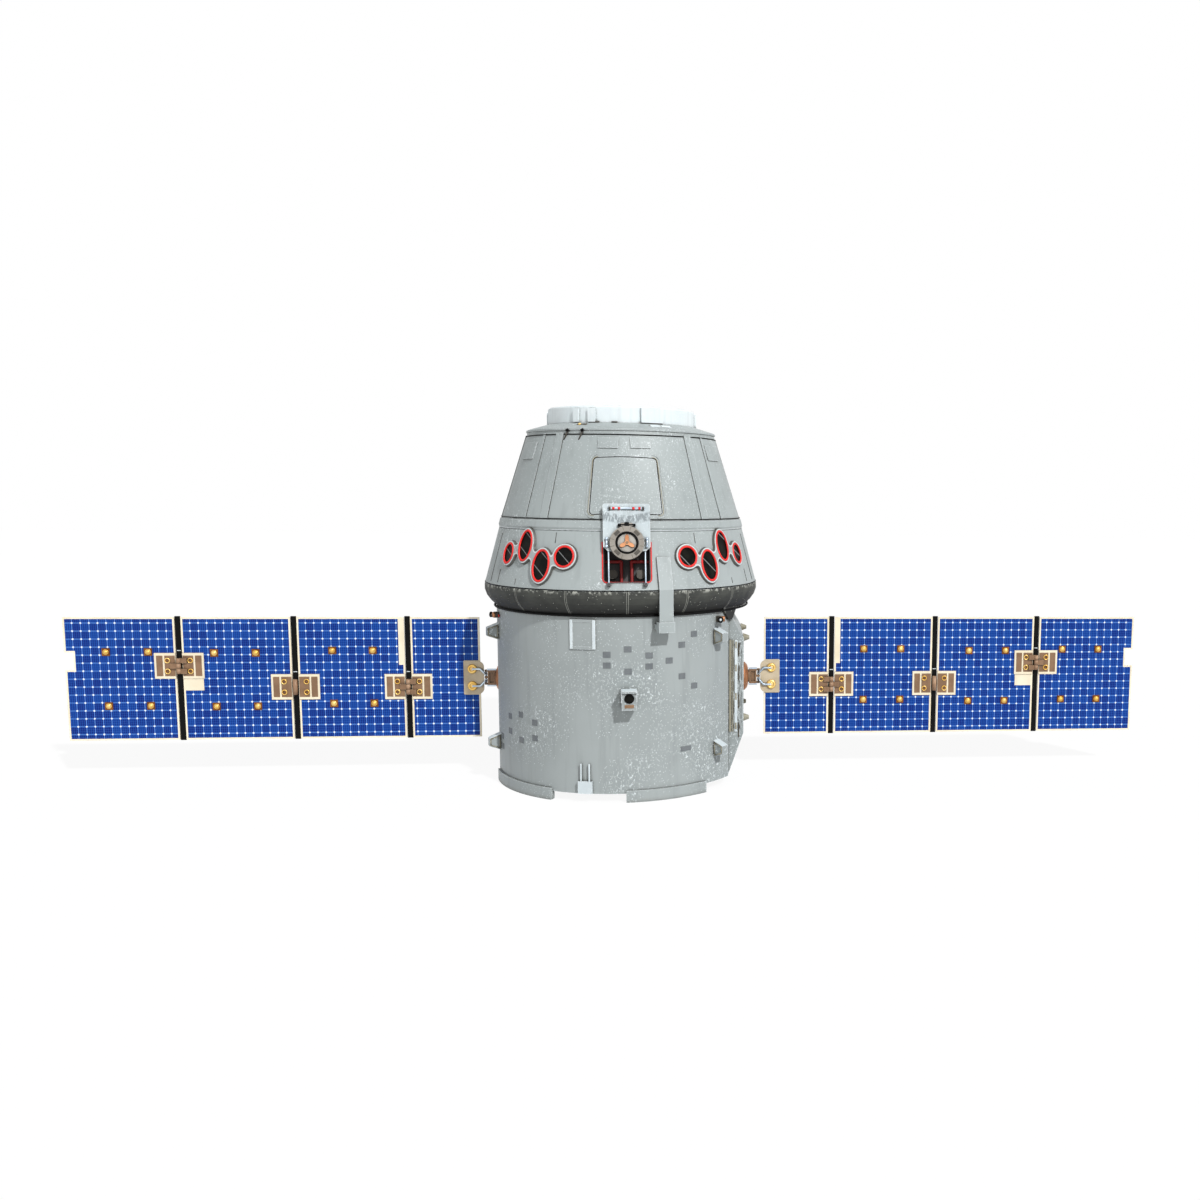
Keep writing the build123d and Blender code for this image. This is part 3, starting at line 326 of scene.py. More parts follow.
def cellFinish():
    # solar cells: UVs are metres, so lines and dots keep their real pitch on every panel
    look = {
        "pitch": 0.118, "startAcross": 0.090, "startUp": 0.065, "lineAcross": 0.0054, "lineUp": 0.0042, "dot": 0.021,
        "deep": shade(4, 28, 112), "bright": shade(16, 72, 158), "wire": shade(92, 142, 218),
        "dotColour": shade(238, 246, 255),
    }
    made, bench = newFinish("solarCells")
    uv = bench.node("ShaderNodeUVMap", {"uv_map": "cells"})
    split = bench.axes(uv)
    across = (split.pick("X") - look["startAcross"]) / look["pitch"]
    up = (split.pick("Y") - look["startUp"]) / look["pitch"]
    column, row = (across + 40).whole(), (up + 40).whole()
    fromLineX = (across + 40.5).fromMiddle() * look["pitch"]
    fromLineY = (up + 40.5).fromMiddle() * look["pitch"]
    key = bench.node("ShaderNodeCombineXYZ", None, {"X": column, "Y": row})
    luck = bench.node("ShaderNodeTexWhiteNoise", {"noise_dimensions": "2D"}, {"Vector": key})
    fingers = (across * 4).fromMiddle().rise(0.1, 0.42)
    rungs = 1 - (up * 4).fromMiddle().rise(0.0, 0.16)
    haze = bench.noise(uv, 3.2, 3.0)
    level = luck * 0.36 + fingers * 0.44 + haze * 0.20
    colour = bench.mixed(level.rise(0.12, 0.9), look["deep"], look["bright"])
    colour = bench.mixed(rungs * 0.22, colour, look["wire"])
    lines = (1 - fromLineX.rise(look["lineAcross"] * 0.6, look["lineAcross"] * 1.5)) * 0.75
    lines = lines.most((1 - fromLineY.rise(look["lineUp"] * 0.6, look["lineUp"] * 1.6)) * 0.95)
    colour = bench.mixed(lines, colour, look["wire"])
    dots = 1 - (fromLineX + fromLineY).rise(look["dot"] * 0.55, look["dot"])
    colour = bench.mixed(dots, colour, look["dotColour"])
    wearSurface(bench, colour, 0.34 + 0.12 * haze, 0.0, lines, 0.0006, {"Specular IOR Level": 0.12})
    return made


def wingFinish():
    # cream composite frame and back skin, with the faint lattice of its core on the back
    made, bench = newFinish("wingFrame")
    place = bench.place()
    split = bench.axes(place)
    behind = split.pick("Y").rise(0.006, 0.009)
    lattice = (split.pick("X") * 6.4).fromMiddle().rise(0.44, 0.49)
    lattice = lattice.most((split.pick("Z") * 6.4).fromMiddle().rise(0.44, 0.49))
    patches = bench.noise(place, 1.7, 4.0)
    colour = bench.mixed(patches.rise(0.35, 0.7), shade(250, 240, 214), shade(238, 224, 194))
    back = bench.mixed(patches.rise(0.35, 0.7), shade(206, 202, 190), shade(190, 186, 174))
    back = bench.mixed(lattice * 0.3, back, shade(150, 146, 134))
    colour = bench.mixed(behind, colour, back)
    # painted shade: corners darkened brown by occlusion
    colour = bench.mixed(bench.creases(0.03).rise(0.25, 0.9) * 0.7, colour, shade(120, 100, 72))
    wearSurface(bench, colour, 0.5 + 0.15 * patches, 0.0, bench.noise(place, 60.0, 2.0), 0.0006)
    return made


# name: colour, second colour, roughness, stretch of the grain
metalRows = {
    "silverRod": ((206, 220, 232), (176, 190, 204), 0.26, (9, 9, 1.2)),
    "copperMetal": ((190, 136, 98), (160, 108, 74), 0.38, (2, 8, 8)),
    "goldMetal": ((250, 214, 132), (232, 184, 90), 0.3, (6, 6, 6)),
    "amberPad": ((150, 94, 38), (118, 70, 26), 0.5, (6, 6, 6)),
    "blackRubber": ((13, 13, 12), (7, 7, 7), 0.6, (8, 8, 8)),
}
for name, (first, second, rough, grain) in metalRows.items():
    finishes[name] = metalFinish(name, shade(*first), shade(*second), rough, grain)
finishes.update(shieldCoat=shieldFinish(), portGlass=glassFinish(), solarCells=cellFinish(), wingFrame=wingFinish())
print("finishes made:", len(finishes))

# finishes on the CAD nodes
nodeFinish = {
    "trunkPaint": ["trunk_wall", "trunk_frames", "access_panel", "skirt_segments", "wing_bay", "camera_box",
                   "guide_cones"],
    "capsulePaint": ["capsule_lower_wall", "capsule_upper_wall", "side_hatch", "ridge_band", "forward_deck",
                     "umbilical_strap", "wall_ribs", "wall_plates", "pod_housings"],
    "platePaint": ["sliding_plate"],
    "nosePaint": ["nose_ring", "nose_port", "nose_blocks"],
    "whiteFitting": ["sensor_rods"],
    "khakiMetal": ["hold_down_cones"],
    "darkMetal": ["edge_fittings", "bay_fittings"],
    "shieldCoat": ["heat_shield"],
    "redPaint": ["pod_rims"],
    "portGlass": ["pod_glass", "camera_lens"],
    "bayLining": ["instrument_bay"],
    "redPipe": ["bay_pipes"],
    "silverRod": ["guide_rods", "plate_bar"],
    "fixtureMetal": ["grapple_fixture"],
    "copperMetal": ["grapple_blades"],
}
for side in ("left", "right"):
    nodeFinish["copperMetal"].append(side + "_drive_dome")
    nodeFinish.setdefault("brownMetal", []).append(side + "_drive_yoke")
    nodeFinish["silverRod"].append(side + "_root_arm")
    for count in range(1, 5):
        nodeFinish.setdefault("wingFrame", []).append(f"{side}_panel_{count}")
        nodeFinish["brownMetal"].append(f"{side}_hinge_plates_{count}")
for finish, nodes in nodeFinish.items():
    for node in nodes:
        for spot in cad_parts[node].material_slots:
            spot.material = finishes[finish]
print("CAD nodes painted:", sum(len(nodes) for nodes in nodeFinish.values()))


# mesh helpers
def placed(name, data, body=None):
    # an object in the scene, riding on its body
    piece = bpy.data.objects.new(name, data)
    bpy.context.scene.collection.objects.link(piece)
    if body:
        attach(piece, body)
    return piece


def newPiece(name, corners, faces, finish, body="hull", smooth=False, closed=True):
    # a closed piece gets its doubles merged and every face turned outwards
    mesh = bpy.data.meshes.new(name)
    mesh.from_pydata([tuple(corner) for corner in corners], [], faces)
    mesh.materials.append(finishes[finish])
    for face in mesh.polygons:
        face.use_smooth = smooth
    if closed:
        work = bmesh.new()
        work.from_mesh(mesh)
        bmesh.ops.remove_doubles(work, verts=work.verts, dist=1e-5)
        bmesh.ops.recalc_face_normals(work, faces=work.faces)
        work.to_mesh(mesh)
        work.free()
    mesh.update()
    return placed(name, mesh, body)


def sixSided(name, blocks, finish):
    # blocks of eight corners each, whose index bits are the three ways across
    order = ((0, 1, 3, 2), (4, 6, 7, 5), (0, 4, 5, 1), (2, 3, 7, 6), (1, 5, 7, 3), (0, 2, 6, 4))
    faces = [tuple(8 * count + k for k in face) for count in range(len(blocks)) for face in order]
    return newPiece(name, [corner for block in blocks for corner in block], faces, finish)


def fromWork(work, name, finish, body, place=None):
    # place carries the mesh from its own plane to the object
    if place is not None:
        bmesh.ops.transform(work, matrix=place, verts=work.verts)
    bmesh.ops.recalc_face_normals(work, faces=work.faces)
    mesh = bpy.data.meshes.new(name)
    work.to_mesh(mesh)
    work.free()
    mesh.materials.append(finishes[finish])
    return placed(name, mesh, body)


def bevelledBoxes(name, rows, finish, body="hull", bevel=0.002, place=None):
    # one mesh of boxes with broken edges, from low and high corners and a turn
    work = bmesh.new()
    for low, high, *turn in rows:
        size = [abs(b - a) for a, b in zip(low, high)]
        middle = Vector([(a + b) / 2 for a, b in zip(low, high)])
        spin = Matrix.Rotation(radians(turn[0]), 4, "Z") if turn else Matrix.Identity(4)
        spread = spin @ Matrix.Translation(middle) @ Matrix.Diagonal((*size, 1))
        box = bmesh.ops.create_cube(work, size=1.0, matrix=spread)
        edges = list({edge for vert in box["verts"] for edge in vert.link_edges})
        bmesh.ops.bevel(work, geom=edges, offset=min(bevel, min(size) * 0.4), segments=2, affect="EDGES")
    return fromWork(work, name, finish, body, place)


def roundBars(name, rows, finish, body="hull", place=None, bevel=0.002):
    # one mesh of cylinders with broken edges, from start, end and radius
    work = bmesh.new()
    for start, end, radius in rows:
        start, end = Vector(start), Vector(end)
        turn = (end - start).to_track_quat("Z", "Y").to_matrix().to_4x4()
        made = bmesh.ops.create_cone(work, cap_ends=True, segments=32, radius1=radius, radius2=radius,
                                     depth=(end - start).length, matrix=Matrix.Translation((start + end) / 2) @ turn)
        caps = {face for vert in made["verts"] for face in vert.link_faces if len(face.verts) > 4}
        edges = list({edge for face in caps for edge in face.edges})
        bmesh.ops.bevel(work, geom=edges, offset=min(bevel, radius * 0.3), segments=2, affect="EDGES")
    for face in work.faces:
        face.smooth = len(face.verts) == 4
    return fromWork(work, name, finish, body, place)


def plainMesh(piece, name, body):
    # what the modifiers show becomes the mesh itself
    shown = piece.evaluated_get(bpy.context.evaluated_depsgraph_get())
    mesh = bpy.data.meshes.new_from_object(shown)
    bpy.data.objects.remove(piece)
    mesh.name = name
    return placed(name, mesh, body)


def tubeAlong(name, points, radius, finish, body="hull", order=3):
    # round bar on a smooth line
    line = bpy.data.curves.new(name, "CURVE")
    line.dimensions, line.bevel_depth, line.bevel_resolution, line.use_fill_caps = "3D", radius, 4, True
    run = line.splines.new("NURBS")
    run.points.add(len(points) - 1)
    for point, at in zip(run.points, points):
        point.co = (*at, 1.0)
    run.order_u, run.use_endpoint_u, run.resolution_u = order, True, 8
    line.materials.append(finishes[finish])
    holder = placed(name, line)
    bpy.context.view_layer.update()
    made = plainMesh(holder, name, body)
    for face in made.data.polygons:
        face.use_smooth = True
    return made


def studTree():
    # Geometry Nodes: domed head and ring on each point, turned to the point's own facing
    tree = bpy.data.node_groups.new("studsOnPoints", "GeometryNodeTree")
    kinds = [("Geometry", "OUTPUT", "Geometry"), ("Geometry", "INPUT", "Geometry"), ("finish", "INPUT", "Material")]
    kinds += [(name, "INPUT", "Float") for name in ("headRadius", "headHeight", "ringRadius", "ringThickness")]
    for name, flow, kind in kinds:
        tree.interface.new_socket(name=name, in_out=flow, socket_type="NodeSocket" + kind)
    bench = Bench(tree)
    given = bench.node("NodeGroupInput")
    facing = bench.node("GeometryNodeInputNamedAttribute", {"data_type": "FLOAT_VECTOR"}, {"Name": "facing"})
    turn = bench.node("FunctionNodeAlignRotationToVector", {"axis": "Z"}, {"Vector": facing})
    wide, tall = given.pick("headRadius"), given.pick("headHeight")
    size = bench.node("ShaderNodeCombineXYZ", None, {"X": wide, "Y": wide, "Z": tall})
    ball = bench.node("GeometryNodeMeshUVSphere", None, {"Segments": 12, "Rings": 6, "Radius": 1.0})
    head = bench.node("GeometryNodeTransform", None, {"Geometry": ball, "Scale": size})
    circle = "GeometryNodeCurvePrimitiveCircle"
    loop = bench.node(circle, None, {"Resolution": 24, "Radius": given.pick("ringRadius")})
    section = bench.node(circle, None, {"Resolution": 8, "Radius": given.pick("ringThickness")})
    ring = bench.node("GeometryNodeCurveToMesh", None, {"Curve": loop, "Profile Curve": section})
    both = tree.nodes.new("GeometryNodeJoinGeometry")
    for part in (head, ring):
        tree.links.new(part.socket, both.inputs[0])
    spread = bench.node("FunctionNodeRandomValue", {"data_type": "FLOAT"}, {2: 0.97, 3: 1.03, "Seed": 7}, 1)
    points = bench.node("GeometryNodeInstanceOnPoints", None, {
        "Points": given.pick("Geometry"), "Instance": Wire(bench, both.outputs[0]), "Rotation": turn, "Scale": spread})
    real = bench.node("GeometryNodeRealizeInstances", None, {"Geometry": points})
    soft = bench.node("GeometryNodeSetShadeSmooth", None, {"Geometry": real, "Shade Smooth": True})
    done = bench.node("GeometryNodeSetMaterial", None, {"Geometry": soft, "Material": given.pick("finish")})
    bench.node("NodeGroupOutput", None, {"Geometry": done})
    return tree


studs = studTree()


def studsOn(name, rows, finish, body="hull", **sizes):
    # rows of (point, facing) become one mesh of studs
    mesh = bpy.data.meshes.new(name)
    mesh.from_pydata([tuple(point) for point, _ in rows], [], [])
    facing = mesh.attributes.new("facing", "FLOAT_VECTOR", "POINT")
    for cell, (_, way) in zip(facing.data, rows):
        cell.vector = way
    piece = placed(name, mesh)
    modifier = piece.modifiers.new("studs", "NODES")
    modifier.node_group = studs
    wanted = dict(sizes, finish=finishes[finish])
    for socket in studs.interface.items_tree:
        if socket.in_out == "INPUT" and socket.name != "Geometry":
            modifier[socket.identifier] = wanted.get(socket.name, 0.0)
    bpy.context.view_layer.update()
    made = plainMesh(piece, name, body)
    work = bmesh.new()
    work.from_mesh(made.data)
    bmesh.ops.delete(work, geom=[face for face in work.faces if face.calc_area() < 1e-12], context="FACES")
    work.to_mesh(made.data)
    work.free()
    return made


# places on the walls
hull = {
    "trunkRadius": 1.850, "shieldRadius": 2.006, "shieldEdge": 2.928, "ridgeRadius": 1.755, "ridgeZ": 3.860,
    "beadRadius": 1.369, "beadZ": 5.089, "clock": 6.0,
}
leanLow = atan2(hull["shieldRadius"] - hull["ridgeRadius"], hull["ridgeZ"] - hull["shieldEdge"])
leanHigh = atan2(hull["ridgeRadius"] - hull["beadRadius"], hull["beadZ"] - hull["ridgeZ"])


def wallRadius(z):
    if z > hull["ridgeZ"]:
        return hull["ridgeRadius"] - (z - hull["ridgeZ"]) * tan(leanHigh)
    return hull["ridgeRadius"] + (hull["ridgeZ"] - z) * tan(leanLow)


def wallSpot(azimuth, z, radius=None, lean=0.0, out=0.0):
    # matrix of a place on a wall: X to the right, Y up the wall, Z outwards
    turn = radians(azimuth)
    radius = wallRadius(z) if radius is None else radius
    right = Vector((cos(turn), sin(turn), 0))
    away = Vector((sin(turn) * cos(lean), -cos(turn) * cos(lean), sin(lean)))
    upward = away.cross(right)
    at = Vector((radius * sin(turn), -radius * cos(turn), z)) + away * out
    return Matrix.Translation(at) @ Matrix((right, upward, away)).transposed().to_4x4()


def wallDrop(x, z):
    # how far the round wall falls back at x beside a middle line
    around = wallRadius(z)
    return around - sqrt(around * around - x * x)


def studAt(place, x=0, y=0, z=0):
    return place @ Vector((x, y, z)), place.to_3x3() @ Vector((0, 0, 1))


def barOn(place, start, end, radius):
    return place @ Vector(start), place @ Vector(end), radius



# wings
wing = {
    "edges": ((2.1436, 3.1497), (3.2427, 4.7805), (4.8735, 6.4113), (6.5043, 8.0421)),
    "low": 0.5338, "high": 2.3582, "rim": 0.024, "face": -0.0100, "cellThick": 0.0015,
    "hinges": ((3.1962, 1.312), (4.8270, 1.317), (6.4578, 1.641)),
    "pad": (0.300, 0.191), "gap": 0.0465,
    "creamPlates": {3: ((6.127, 1.271, 6.390, 1.486),), 2: ((3.243, 1.640, 3.330, 2.340),)},
    "rootPlate": (2.091, 1.180, 2.382, 1.705), "notch": (7.920, 1.580, 8.050, 1.842),
}


def cutSheet(outline, cuts):
    # quads of a rectangle with rectangles left out, as corner lists in x and z
    x0, z0, x1, z1 = outline
    xs, zs = {x0, x1}, {z0, z1}
    for cx0, cz0, cx1, cz1 in cuts:
        xs.update(v for v in (cx0, cx1) if x0 < v < x1)
        zs.update(v for v in (cz0, cz1) if z0 < v < z1)
    xs, zs = sorted(xs), sorted(zs)
    quads = []
    for xa, xb in zip(xs, xs[1:]):
        for za, zb in zip(zs, zs[1:]):
            midX, midZ = (xa + xb) / 2, (za + zb) / 2
            if not any(cx0 < midX < cx1 and cz0 < midZ < cz1 for cx0, cz0, cx1, cz1 in cuts):
                quads.append((xa, za, xb, zb))
    return quads


def panelCuts(count):
    padWide, padHalf = wing["pad"]
    cuts = []
    for hingeX, hingeZ in wing["hinges"]:
        reach = padWide + wing["gap"]
        cuts.append((hingeX - reach, hingeZ - padHalf, hingeX + reach, hingeZ + padHalf))
    cuts.extend(wing["creamPlates"].get(count, ()))
    if count == 1:
        cuts.append(wing["rootPlate"])
    if count == 4:
        x0, z0, x1, z1 = wing["notch"]
        cuts.append((x0 - wing["rim"], z0 - wing["rim"], x1, z1 + wing["rim"]))
    return cuts


def cellSheet(sideName, side, count):
    start, end = wing["edges"][count - 1]
    rim = wing["rim"]
    outline = (start + rim, wing["low"] + rim, end - rim, wing["high"] - rim)
    quads = cutSheet(outline, panelCuts(count))
    work = bmesh.new()
    layer = work.loops.layers.uv.new("cells")
    seen = {}

    def vert(x, z):
        key = (round(x, 5), round(z, 5))
        if key not in seen:
            seen[key] = work.verts.new((side * x, wing["face"] - wing["cellThick"], z))
        return seen[key]

    for x0, z0, x1, z1 in quads:
        corners = [(x0, z0), (x1, z0), (x1, z1), (x0, z1)]
        face = work.faces.new([vert(x, z) for x, z in (corners if side > 0 else reversed(corners))])
        for loop in face.loops:
            loop[layer].uv = (side * loop.vert.co.x - outline[0], loop.vert.co.z - outline[1])
    grown = bmesh.ops.extrude_face_region(work, geom=list(work.faces))
    back = [g for g in grown["geom"] if isinstance(g, bmesh.types.BMVert)]
    bmesh.ops.translate(work, verts=back, vec=(0, wing["cellThick"] - 0.0001, 0))
    fromWork(work, f"{sideName}Cells{count}", "solarCells", f"{sideName}_wing_{count}")


buttons = {
    2: ((3.703, 4.285), (1.863, 1.062)), 3: ((5.375, 5.962), (1.830, 1.029)), 4: ((6.884, 7.469), (1.848, 1.047)),
    "padHalf": 0.057, "padThick": 0.012,
    "stud": {"headRadius": 0.034, "headHeight": 0.022, "ringRadius": 0.036, "ringThickness": 0.006},
}
hingeLook = {
    "plates": ((0.008, 0.156), (0.180, 0.271)), "half": 0.153, "thick": 0.005, "face": -0.021, "creamThick": 0.0015,
    "ringX": 0.114, "ringZ": 0.080,
    "rings": (("Rings", "goldMetal", 0.034, 0.008), ("Bolts", "amberPad", 0.023, 0.006)),
}
gapLook = {
    "half": 0.0085, "barX": (0.005, 0.008), "barZ": (0.009, 0.017), "tickX": 0.020, "tickUp": 0.030, "tickTall": 0.011,
    "barrelTall": 0.230, "barrelRadius": 0.033, "barrelGap": 0.002, "axisOut": -0.040, "coverOut": -0.034,
}


def mirrored(side, low, high):
    # a box from its low and high corners, mirrored for the left wing
    xs = sorted((side * low[0], side * high[0]))
    return (xs[0], *low[1:]), (xs[1], *high[1:])


def dressButtons(sideName, side, count, body):
    spots = [(x, z) for x in buttons[count][0] for z in buttons[count][1]]
    back, half = wing["face"] - wing["cellThick"], buttons["padHalf"]
    front = back - buttons["padThick"]
    pads = [mirrored(side, (x - half, front, z - half), (x + half, back + 0.001, z + half)) for x, z in spots]
    bevelledBoxes(f"{sideName}ButtonPads{count}", pads, "amberPad", body, 0.004)
    heads = [((side * x, front, z), (0, -1, 0)) for x, z in spots]
    studsOn(f"{sideName}Buttons{count}", heads, "goldMetal", body, **buttons["stud"])


def dressGap(sideName, side, count, body):
    # black bar in the gap, with a pale tick above the hinge
    start, end = wing["edges"][count - 1][1], wing["edges"][count][0]
    half, tick = gapLook["half"], wing["hinges"][count - 1][1] + wing["pad"][1] + gapLook["tickUp"]
    (barIn, barOut), (under, over) = gapLook["barX"], gapLook["barZ"]
    bar = mirrored(side, (start + barIn, -half, wing["low"] - under), (end - barOut, half, wing["high"] + over))
    bevelledBoxes(f"{sideName}GapBar{count}", [bar], "blackRubber", body, 0.002)
    mark = mirrored(side, (start + gapLook["tickX"], -half - 0.003, tick),
                    (end - gapLook["tickX"], -half + 0.001, tick + gapLook["tickTall"]))
    bevelledBoxes(f"{sideName}GapTick{count}", [mark], "whiteFitting", body, 0.001)


def dressBarrels(sideName, side, count, body):
    # hinge barrels in thirds: the middle on the outer panel, the ends on the inner one
    for hinge, thirds in ((count - 2, ((1, 2),)), (count - 1, ((0, 1), (2, 3)))):
        if not 0 <= hinge < 3:
            continue
        y, third, gap = gapLook["axisOut"], gapLook["barrelTall"] / 3, gapLook["barrelGap"]
        if hinge == 1:
            # this hinge folds backwards, so its front cover is one piece on the inner panel
            thirds, y = (((0, 3),) if count == 2 else ()), gapLook["coverOut"]
        x, middle = wing["hinges"][hinge]
        x, low = side * x, middle - gapLook["barrelTall"] / 2
        rows = [((x, y, low + a * third + gap), (x, y, low + b * third - gap), gapLook["barrelRadius"])
                for a, b in thirds]
        if rows:
            roundBars(f"{sideName}Barrel{hinge + 1}On{count}", rows, "tanMetal", body)


def dressHinges(sideName, side, count, body):
    plates, creams, rings = [], [], []
    front, (padWide, padHalf) = hingeLook["face"], wing["pad"]
    for hinge, toward in ((count - 2, 1), (count - 1, -1)):
        # toward: which way the panel runs from this hinge
        if not 0 <= hinge < 3:
            continue
        hingeX, hingeZ = wing["hinges"][hinge]
        edge = hingeX + toward * wing["gap"]
        for near, far in hingeLook["plates"]:
            near, far = sorted((edge + toward * near, edge + toward * far))
            plates.append(mirrored(side, (near, front - hingeLook["thick"], hingeZ - hingeLook["half"]),
                                   (far, front + 0.001, hingeZ + hingeLook["half"])))
        near, far = sorted((edge + toward * 0.001, edge + toward * padWide))
        creams.append(mirrored(side, (near, front - hingeLook["creamThick"], hingeZ - padHalf),
                               (far, wing["face"] + 0.0005, hingeZ + padHalf)))
        ringX, ringY = side * (edge + toward * hingeLook["ringX"]), front - hingeLook["thick"] - 0.004
        rings += [((ringX, ringY, hingeZ + up * hingeLook["ringZ"]), (0, -1, 0)) for up in (-1, 1)]
    for x0, z0, x1, z1 in wing["creamPlates"].get(count, ()):
        creams.append(mirrored(side, (x0, wing["face"] - 0.004, z0), (x1, wing["face"] + 0.0005, z1)))
    bevelledBoxes(f"{sideName}HingeBrown{count}", plates, "brownMetal", body, 0.002)
    bevelledBoxes(f"{sideName}HingeCream{count}", creams, "creamPlate", body, 0.0015)
    for word, finish, radius, thick in hingeLook["rings"]:
        studsOn(f"{sideName}Hinge{word}{count}", rings, finish, body, ringRadius=radius, ringThickness=thick)


for sideName, side in (("left", -1), ("right", 1)):
    for count in range(1, 5):
        body = f"{sideName}_wing_{count}"
        cellSheet(sideName, side, count)
        if count in buttons:
            dressButtons(sideName, side, count, body)
        if count < 4:
            dressGap(sideName, side, count, body)
        dressBarrels(sideName, side, count, body)
        dressHinges(sideName, side, count, body)
print("wings dressed")

# wing roots: silver rods along the bracket, stone plate, gold washers; heights are from the boom
root = {
    "boomZ": 1.446, "railZ": 0.121, "railRadius": 0.015, "railX": (1.905, 1.95, 2.0, 2.036), "railY": -0.040,
    "armRadius": 0.0155, "armBend": ((2.064, -0.012, 0.052), (2.072, -0.044, 0.060), (2.100, -0.046, 0.090)),
    "armRun": (2.135, 2.170, 2.257), "armY": -0.046, "washerX": 2.257, "washerY": -0.031, "washerZ": 0.130,
    "washer": {"ringRadius": 0.050, "ringThickness": 0.021, "headRadius": 0.046, "headHeight": 0.016},
    "plateLow": 1.189, "plateHigh": 1.696, "plateX": (2.087, 2.386), "plateY": (-0.0265, -0.0125),
    "waist": (1.560, 1.330), "bulgeX": 2.180, "bulge": 0.093,
}
for sideName, side in (("left", -1), ("right", 1)):
    for up, word in ((-1, "Low"), (1, "High")):
        rail = [(side * x, root["railY"], root["boomZ"] + up * root["railZ"]) for x in root["railX"]]
        tubeAlong(f"{sideName}YokeRail{word}", rail, root["railRadius"], "silverRod", f"{sideName}_yoke")
        bend = list(root["armBend"]) + [(x, root["armY"], root["washerZ"]) for x in root["armRun"]]
        bend = [(side * x, y, root["boomZ"] + up * z) for x, y, z in bend]
        tubeAlong(f"{sideName}ArmRod{word}", bend, root["armRadius"], "silverRod", f"{sideName}_wing_1")
    heights = [root["boomZ"] + up * root["washerZ"] for up in (-1, 1)]
    washers = [((side * root["washerX"], root["washerY"], z), (0, -1, 0)) for z in heights]
    studsOn(f"{sideName}Washers", washers, "goldMetal", f"{sideName}_wing_1", **root["washer"])
    # stone root plate with its rounded bulges, over the CAD plate
    low, high, bulge = root["plateLow"], root["plateHigh"], root["bulge"]
    inner, outer = root["plateX"]

    def bulgeLine(first, middle):
        turns = [first + steps * pi / 16 for steps in range(9)]
        return [(root["bulgeX"] + bulge * cos(a), middle + bulge * sin(a)) for a in turns]

    outline = [(outer, low), (outer, high)] + bulgeLine(pi / 2, high - bulge)
    outline += [(inner, z) for z in root["waist"]] + bulgeLine(pi, low + bulge)
    corners = [(side * x, y, z) for y in root["plateY"] for x, z in outline]
    n = len(outline)
    faces = [tuple(range(n)), tuple(range(2 * n - 1, n - 1, -1))]
    faces += [(i, (i + 1) % n, n + (i + 1) % n, n + i) for i in range(n)]
    newPiece(f"{sideName}RootPlate", corners, faces, "stonePlate", f"{sideName}_wing_1")
print("wing roots dressed")


# pods: smooth housings as a height field over the lower wall
pods = {
    "ports": ((25.6, 3.376, 0.132, 0.136), (35.8, 3.245, 0.126, 0.210), (45.8, 3.504, 0.113, 0.206),
              (56.3, 3.386, 0.106, 0.136)),
    "middle": 3.38, "lip": 0.058, "neck": 0.078, "blend": 0.05, "proud": 0.040, "sunk": 0.006, "shoulder": 0.018,
    "step": 0.009, "bed": 0.012, "bedEdge": 0.014, "margin": 0.12, "outside": 0.02, "rimTube": 0.0155, "rimOut": 0.004,
    "rimLevel": 0.036, "glassOut": 0.004, "glassLevel": 0.019, "dish": 0.008,
    "sealGrid": (48, 10), "glassGrid": (7, 40),
}


def ovalDistance(dx, dy, wide, tall):
    reach = hypot(dx / wide, dy / tall)
    return hypot(dx, dy) * (1 - 1 / reach) if reach > 1e-6 else -min(wide, tall)


def softStep(value, low, high):
    t = min(1.0, max(0.0, (value - low) / (high - low)))
    return t * t * (3 - 2 * t)


def blendLow(first, second):
    h = max(pods["blend"] - abs(first - second), 0.0) / pods["blend"]
    return min(first, second) - h * h * pods["blend"] / 4


def podField(spots, x, y):
    # how far inside the housing's outline (below 0), and how far from the nearest opening
    inside, opening = 10.0, 10.0
    for sx, sy, wide, tall in spots:
        gap = ovalDistance(x - sx, y - sy, wide, tall)
        opening = min(opening, gap)
        inside = blendLow(inside, gap - pods["lip"])
    for (ax, ay, *_), (bx, by, *_) in zip(spots, spots[1:]):
        wayX, wayY = bx - ax, by - ay
        along = max(0.0, min(1.0, ((x - ax) * wayX + (y - ay) * wayY) / (wayX ** 2 + wayY ** 2)))
        inside = blendLow(inside, hypot(x - ax - along * wayX, y - ay - along * wayY) - pods["neck"])
    return inside, opening


